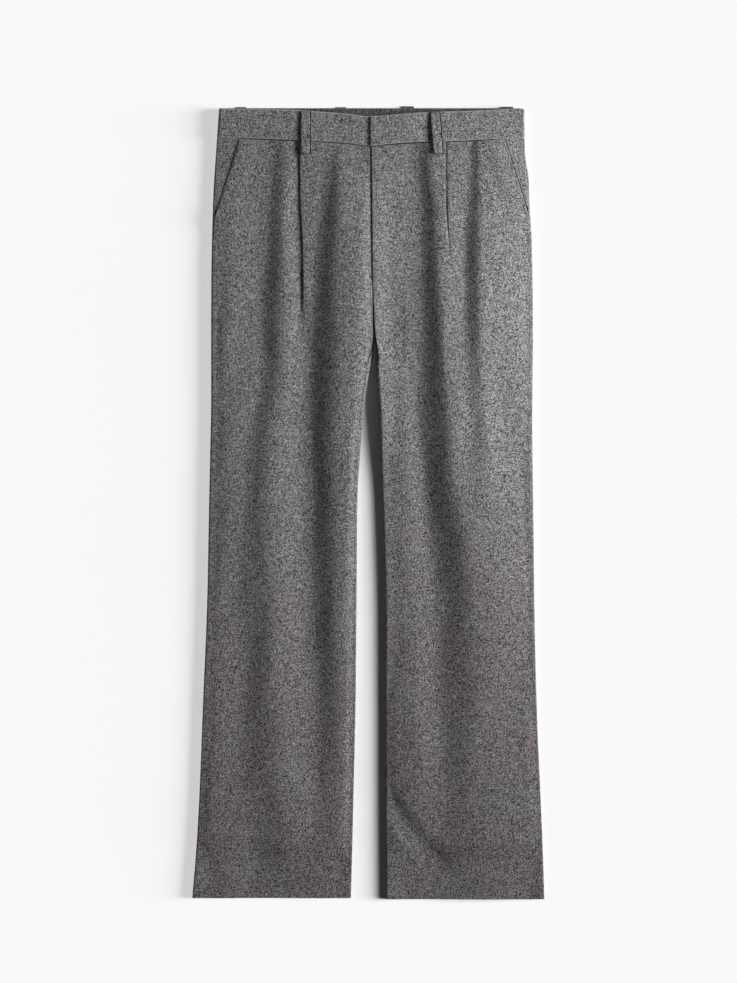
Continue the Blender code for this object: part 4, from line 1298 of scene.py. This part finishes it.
def front_loop_grid(leg):
    share = spread(0, 1, 0.03, LOOP / 2 / LOOP_SPAN)[:, None]
    reach = LOOP_COLUMNS[None, :]
    across, down, height = front_loop(leg, share, reach)
    channels = bell((np.abs(reach) - STITCH_LINE) / CHANNEL_HALF)
    return np.dstack([across, down, height - CHANNEL_DEPTH * channels])


print("the right loop's highest point, mm:", round(float(front_loop_grid(RIGHT)[:, :, 2].max()), 1))

# %% Front belt loops
for leg in LEGS:
    name = f"belt_loop_front_{leg.name}"
    cloth[name] = shell(
        name + "_cloth",
        front_loop_grid(leg),
        LOOP,
        loop_flannel_shaded_rims,
        first=LOOP_RIM,
        last=LOOP_RIM,
        rim_wear_and_light=LOOP_SHADE,
    )
print("pieces so far:", len(cloth))

# %% Side and back belt loops
BACK_LOOP_END = 60.0


def back_loop_grid(top):
    down = spread(top.down, BACK_LOOP_END, 3.0, LOOP / 2)[:, None]
    across = top.across + PLAIN_COLUMNS[None, :]
    return np.dstack([across + 0 * down, down + 0 * across, LOOP / 2 + 0 * across + 0 * down])


# the tips of the back loops take the darker flannel too, as painted shade
for side, top in BACK_LOOPS.items():
    name = f"belt_loop_{side}"
    cloth[name] = shell(name + "_cloth", back_loop_grid(top), LOOP, shade_painted_flannel)
print("pieces of cloth:", len(cloth))

# %% [markdown]
# ## The sewing
# Most seams of dress trousers are sewn from inside and show only as a line. Stitches show where an edge
# takes strain: along the belt loops and the pocket slants, with a bar tack, a short run sewn over itself,
# at each end of a pocket and at the foot of the fly. Each row is a path here, and Geometry Nodes sets a
# stitch every few millimetres along it, which no texture could turn to follow the row.


# %% Rows of stitches along the belt loops
def on_front(leg, rows):
    """A row on a front panel or on the waistband, through (across, down) points."""
    across, down = np.array(rows, float).T
    return np.stack([across, down, front_top(leg, across, down)], axis=1)


SIDE_SHARES = np.linspace(0.04, 0.97, 60)[:, None]  # of a loop's length, for the rows along its sides
LOOP_SHARES = np.array([[0.0], [0.972], [1.0]])  # its two ends, and between them the row at its foot
FOOT_ROW = 1
edge_rows = []
for leg in LEGS:
    for edge in (-1, 1):
        across, down, height = front_loop(leg, SIDE_SHARES, np.array([[edge * STITCH_LINE]]))
        edge_rows.append(np.hstack([across, down, height + LOOP / 2 - CHANNEL_DEPTH]))
    across, down, height = front_loop(leg, LOOP_SHARES, np.linspace(-1, 1, 20)[None, :] * STITCH_LINE)
    edge_rows.append(np.stack([line[FOOT_ROW] for line in (across, down, height + LOOP / 2)], axis=1))
print(len(edge_rows), "rows on the belt loops")

# %% Rows of stitches along the pocket slants
SLANT_INSET = 1.8  # mm from the pocket's folded edge to its stitches
SLANT_TOP = 52.0  # where the row starts
SLANT_SHORT = 3.0  # how far above the slant's end the row stops
for leg in LEGS:
    down = np.linspace(SLANT_TOP, leg.slant[-1].down - SLANT_SHORT, 50)
    across = follow(leg.slant, "across", down) - leg.sign * SLANT_INSET
    edge_rows.append(on_front(leg, np.stack([across, down], axis=1)))
print(len(edge_rows), "rows of stitches in all")

# %% Bar tacks
FLY_TACKS = [((6.5, 219), (15.5, 217.5)), ((6.0, 229), (14, 228.5))]  # (across, down) of both ends
POCKET_TACK = 4.5  # the length of one at a pocket's end
TACK_INSET = 1.0  # from the pocket's edge to where a tack starts
TACK_BELOW_BAND = 9.0  # from the top of the slant to the upper tack


def evenly(start, end, count=40):
    return np.linspace(np.array(start, float), np.array(end, float), count)


tack_rows = [on_front(LEFT, evenly(*ends)) for ends in FLY_TACKS]
for leg in LEGS:
    for down in (leg.slant[0].down + TACK_BELOW_BAND, leg.slant[-1].down - SLANT_SHORT):
        start = follow(leg.slant, "across", down) - leg.sign * TACK_INSET
        tack_rows.append(on_front(leg, evenly((start, down), (start - leg.sign * POCKET_TACK, down))))
print(len(tack_rows), "bar tacks")

# %% [markdown]
# Thread is spun polyester: matt, with a little lustre along its twist. It is hardly thicker than a clump
# of the cloth's fibres, so one plain colour is all that the eye sees of it. The slate thread is made far
# darker than the cloth, so that its rows also paint the shade of the stitched channels beside them.


# %% Thread, and other plain matt finishes
def plain_matt(name, colour, roughness, specular=0.5):
    material = bpy.data.materials.new(name)
    material.use_nodes = True
    shader = material.node_tree.nodes["Principled BSDF"]
    shader.inputs["Base Color"].default_value = linear(colour)
    shader.inputs["Roughness"].default_value = roughness
    shader.inputs["Specular IOR Level"].default_value = specular
    print("material:", name)
    return material


# far darker than the cloth: a painted shade along the loops' and the pockets' stitched edges
slate_thread_painting_shade = plain_matt("polyester sewing thread, slate", "#2c2b2b", 0.7)
dark_thread = plain_matt("polyester sewing thread, dark grey", "#232222", 0.7)

# %% [markdown]
# The node tree takes a path, sets points a pitch apart along it, and puts a flattened bead on each point,
# turned along the path. Hand sewing has no two stitches alike and a machine's differ a little, so their
# length varies by a fixed seed. A stitch is a sphere of a few dozen faces, because there are hundreds.


# %% A node tree that sews along a path
UNEVEN = (0.85, 1.1)  # the least and the greatest length of a stitch, as a share of the set one
BEAD = {"Segments": 8, "Rings": 6, "Radius": 0.5}


def stitch_tree():
    tree = bpy.data.node_groups.new("stitches along a path", "GeometryNodeTree")
    sockets = {}
    tree.interface.new_socket("Geometry", in_out="INPUT", socket_type="NodeSocketGeometry")
    kinds = {"Pitch": "Float", "Stitch": "Float", "Thread": "Float", "Material": "Material"}
    for label, kind in kinds.items():
        made = tree.interface.new_socket(label, in_out="INPUT", socket_type=f"NodeSocket{kind}")
        sockets[label] = made.identifier
    tree.interface.new_socket("Geometry", in_out="OUTPUT", socket_type="NodeSocketGeometry")
    given = add(tree, "NodeGroupInput").outputs
    path = add(tree, "GeometryNodeMeshToCurve", {}, {"Mesh": given["Geometry"]})
    spaced = {"Curve": path.outputs[0], "Length": given["Pitch"]}
    points = add(tree, "GeometryNodeResampleCurve", {"mode": "LENGTH"}, spaced)
    tangent = add(tree, "GeometryNodeInputTangent").outputs[0]
    turned = add(tree, "FunctionNodeAlignRotationToVector", {"axis": "X"}, {"Vector": tangent})
    least, greatest = UNEVEN
    drawn = {2: least, 3: greatest, "Seed": 3}
    uneven = add(tree, "FunctionNodeRandomValue", {"data_type": "FLOAT"}, drawn)
    product = {0: given["Stitch"], 1: uneven.outputs[1]}
    length = add(tree, "ShaderNodeMath", {"operation": "MULTIPLY"}, product).outputs[0]
    size = add(tree, "ShaderNodeCombineXYZ", {}, {0: length, 1: given["Thread"], 2: given["Thread"]})
    bead = add(tree, "GeometryNodeMeshUVSphere", {}, BEAD)
    placed = {"Points": points, "Instance": bead, "Rotation": turned, "Scale": size}
    placed = {socket: node.outputs[0] for socket, node in placed.items()}
    stitches = add(tree, "GeometryNodeInstanceOnPoints", {}, placed)
    real = add(tree, "GeometryNodeRealizeInstances", {}, {"Geometry": stitches.outputs[0]})
    dyed = {"Geometry": real.outputs[0], "Material": given["Material"]}
    finished = add(tree, "GeometryNodeSetMaterial", {}, dyed)
    add(tree, "NodeGroupOutput", {}, {"Geometry": finished.outputs[0]})
    return tree, sockets


SEWING, SEWING_SOCKETS = stitch_tree()
print("nodes in the sewing tree:", len(SEWING.nodes), "and inputs:", list(SEWING_SOCKETS))


# %% Sew along the rows
def sew(name, rows, pitch, stitch, thread, material):
    """Stitches along all these rows, as one plain mesh; the sizes are in mm."""
    verts, edges = [], []
    for row in rows:
        across, down, height = row.T
        first = len(verts)
        verts += (np.stack([across, LENGTH / 2 - down, height], axis=1) * MM).tolist()
        edges += [(i, i + 1) for i in range(first, len(verts) - 1)]
    path_data = bpy.data.meshes.new(name + " path")
    path_data.from_pydata(verts, edges, [])
    path = new_object(name + " path", path_data)
    modifier = path.modifiers.new("sewing", "NODES")
    modifier.node_group = SEWING
    given = {"Pitch": pitch * MM, "Stitch": stitch * MM, "Thread": thread * MM, "Material": material}
    for label, value in given.items():
        modifier[SEWING_SOCKETS[label]] = value
    graph = bpy.context.evaluated_depsgraph_get()
    data = bpy.data.meshes.new_from_object(path.evaluated_get(graph))
    data.name = name
    data.shade_smooth()
    bpy.data.objects.remove(path)
    print(f"{name}: {sum(len(face.vertices) - 2 for face in data.polygons)} triangles")
    return new_object(name, data)


sewing = [
    sew("edge_stitches", edge_rows, pitch=2.4, stitch=2.2, thread=0.65, material=slate_thread_painting_shade),
    sew("bar_tacks", tack_rows, pitch=0.9, stitch=1.1, thread=0.6, material=dark_thread),
]

# %% [markdown]
# ## Every piece stands for its solid
# The solids stay for collision and weight. Each shell replaces one of them, moves with the garment, and
# is declared as a sheet of cloth with the flat size of what shows of it.

# %% The columns of a piece's flat size
Cut = namedtuple("Cut", "width length area rests_on")  # m, m2; no area where the cut is a rectangle

# %% Hand the cloth over to the frame
for node, piece in cloth.items():
    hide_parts(node)
    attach(piece, "root")
for piece in sewing:
    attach(piece, "root")
print("pieces that ride on the garment:", len(cloth) + len(sewing))

# %% [markdown]
# ## Floor, light and camera
# A low light lets each soft fold show by its shaded flank; a light from straight above would flatten them
# all. But a light that low would leave the paper dull, and one bright enough for the paper would bleach
# the cloth. Light linking gives each its own suns, mostly from the garment's left. A sun's angle is how wide
# it looks, and so how soft its shadow is. The paper needs a nearly even white with one soft shadow; the
# garment gets a broad sun, a near lamp for its upper half, and two weak suns that open up its shadows.

# %% Floor
FLOOR_SIZE = 14.0
FLOOR_DROP = 0.2 * MM
half = FLOOR_SIZE / 2
corners = [(x, y, -FLOOR_DROP) for x, y in ((-half, -half), (half, -half), (half, half), (-half, half))]
floor_data = bpy.data.meshes.new("floor")
floor_data.from_pydata(corners, [], [(0, 1, 2, 3)])
floor_data.materials.append(plain_matt("matt white paper", "#f3f3f3", roughness=1.0, specular=0.0))
floor = new_object("floor", floor_data)
print("floor, m:", FLOOR_SIZE, "square")


# %% Tools for light
def collected(name, objects):
    group = bpy.data.collections.new(name)
    for item in objects:
        group.objects.link(item)
    return group


def lit_only(light, name, objects):
    """The light reaches only these objects, though everything still casts its shadow."""
    light.light_linking.receiver_collection = collected(name, objects)


def from_sky(azimuth, elevation):
    """The direction to a light, from its azimuth, from +Y towards +X, and its height, in degrees."""
    azimuth, elevation = np.radians(azimuth), np.radians(elevation)
    level = np.cos(elevation)
    return Vector((np.sin(azimuth) * level, np.cos(azimuth) * level, np.sin(elevation)))


print("towards a light at 72 degrees, 27 up:", [round(value, 2) for value in from_sky(72, 27)])

# %% The suns
Sun = namedtuple("Sun", "name power angle azimuth elevation group lights_up")
garment = list(cloth.values())
SUNS = [  # power in W/m2 and angles in degrees
    # those on the paper shine straight across, so that no shadow falls below the hems
    Sun("light on the paper", 6.6, 20.0, 90.0, 10.5, "paper", [floor]),
    Sun("second light on the paper", 7.5, 24.0, 90.0, 15.5, "paper again", [floor]),
    Sun("broad light", 3.47, 32.0, 72.0, 27.0, "garment", garment),
    Sun("dome", 0.21, 170.0, 0.0, 90.0, "garment under dome", garment),
    Sun("fill from the other side", 0.26, 60.0, 270.0, 26.0, "garment filled", garment),
]
suns = {}
for row in SUNS:
    data = bpy.data.lights.new(row.name, "SUN")
    data.energy = row.power
    data.angle = np.radians(row.angle)
    sun = suns[row.name] = new_object(row.name, data)
    sun.rotation_euler = from_sky(row.azimuth, row.elevation).to_track_quat("Z", "Y").to_euler()
    lit_only(sun, row.group, row.lights_up)
print("suns:", {row.name: row.power for row in SUNS})

# %% The shadow between the legs
# only the left side's pieces shade the second sun on the paper, which keeps the gap from going too dark
left_side = [piece for node, piece in cloth.items() if node.endswith("_left")]
suns["second light on the paper"].light_linking.blocker_collection = collected("left leg", left_side)
print("pieces that shade it:", len(left_side))

# %% The near lamp
NEAR_PLACE = Vector((0.68, 0.31, 0.29))  # m, beside the left hip
NEAR_TARGET = Vector((0.1, 0.2, 0.0))  # m, on the left thigh
near_data = bpy.data.lights.new("near light", "AREA")
near_data.shape = "DISK"
near_data.size = 0.28
near_data.energy = 5.8
near_light = new_object("near light", near_data)
near_light.location = NEAR_PLACE
near_light.rotation_euler = (NEAR_PLACE - NEAR_TARGET).to_track_quat("Z", "Y").to_euler()
near_light.visible_camera = False
lit_only(near_light, "garment near", garment)
print("near lamp, m from what it is aimed at:", round((NEAR_PLACE - NEAR_TARGET).length, 2))

# %% The room
SKY = 0.032  # the light of the room on everything
BACKDROP = 0.93  # how bright the room is to the camera
world = bpy.data.worlds.new("studio")
world.use_nodes = True
ray = add(world.node_tree, "ShaderNodeLightPath").outputs["Is Camera Ray"]
strength = add(world.node_tree, "ShaderNodeMapRange", {}, {"Value": ray, "To Min": SKY, "To Max": BACKDROP})
background = world.node_tree.nodes["Background"]
background.inputs["Color"].default_value = (1, 1, 1, 1)
world.node_tree.links.new(strength.outputs[0], background.inputs["Strength"])
bpy.context.scene.world = world
print("room light:", SKY, "and as a backdrop:", BACKDROP)

# %% [markdown]
# The camera looks straight down through a long lens, so that both ends of the garment are seen square on.
# A camera without perspective would do nearly the same, but a real one shows a little of each flank.

# %% Camera
LENS = 135.0
SENSOR = 36.0
FRAME_TALL = 1.3049  # m that the view takes in from top to bottom, at the height of the cloth
CAMERA_AIM = (0.00033, 0.01485)  # m, the point of the garment that the middle of the view shows
CLOTH_TOP = 0.008  # m, about how high the cloth lies
camera_data = bpy.data.cameras.new("camera")
camera_data.lens = LENS
camera_data.sensor_width = SENSOR
camera = new_object("camera", camera_data)
camera.location = (*CAMERA_AIM, CLOTH_TOP + FRAME_TALL * LENS / SENSOR)
bpy.context.scene.camera = camera
bpy.context.scene.view_settings.view_transform = "Standard"
print("camera height, m:", round(camera.location.z, 3))
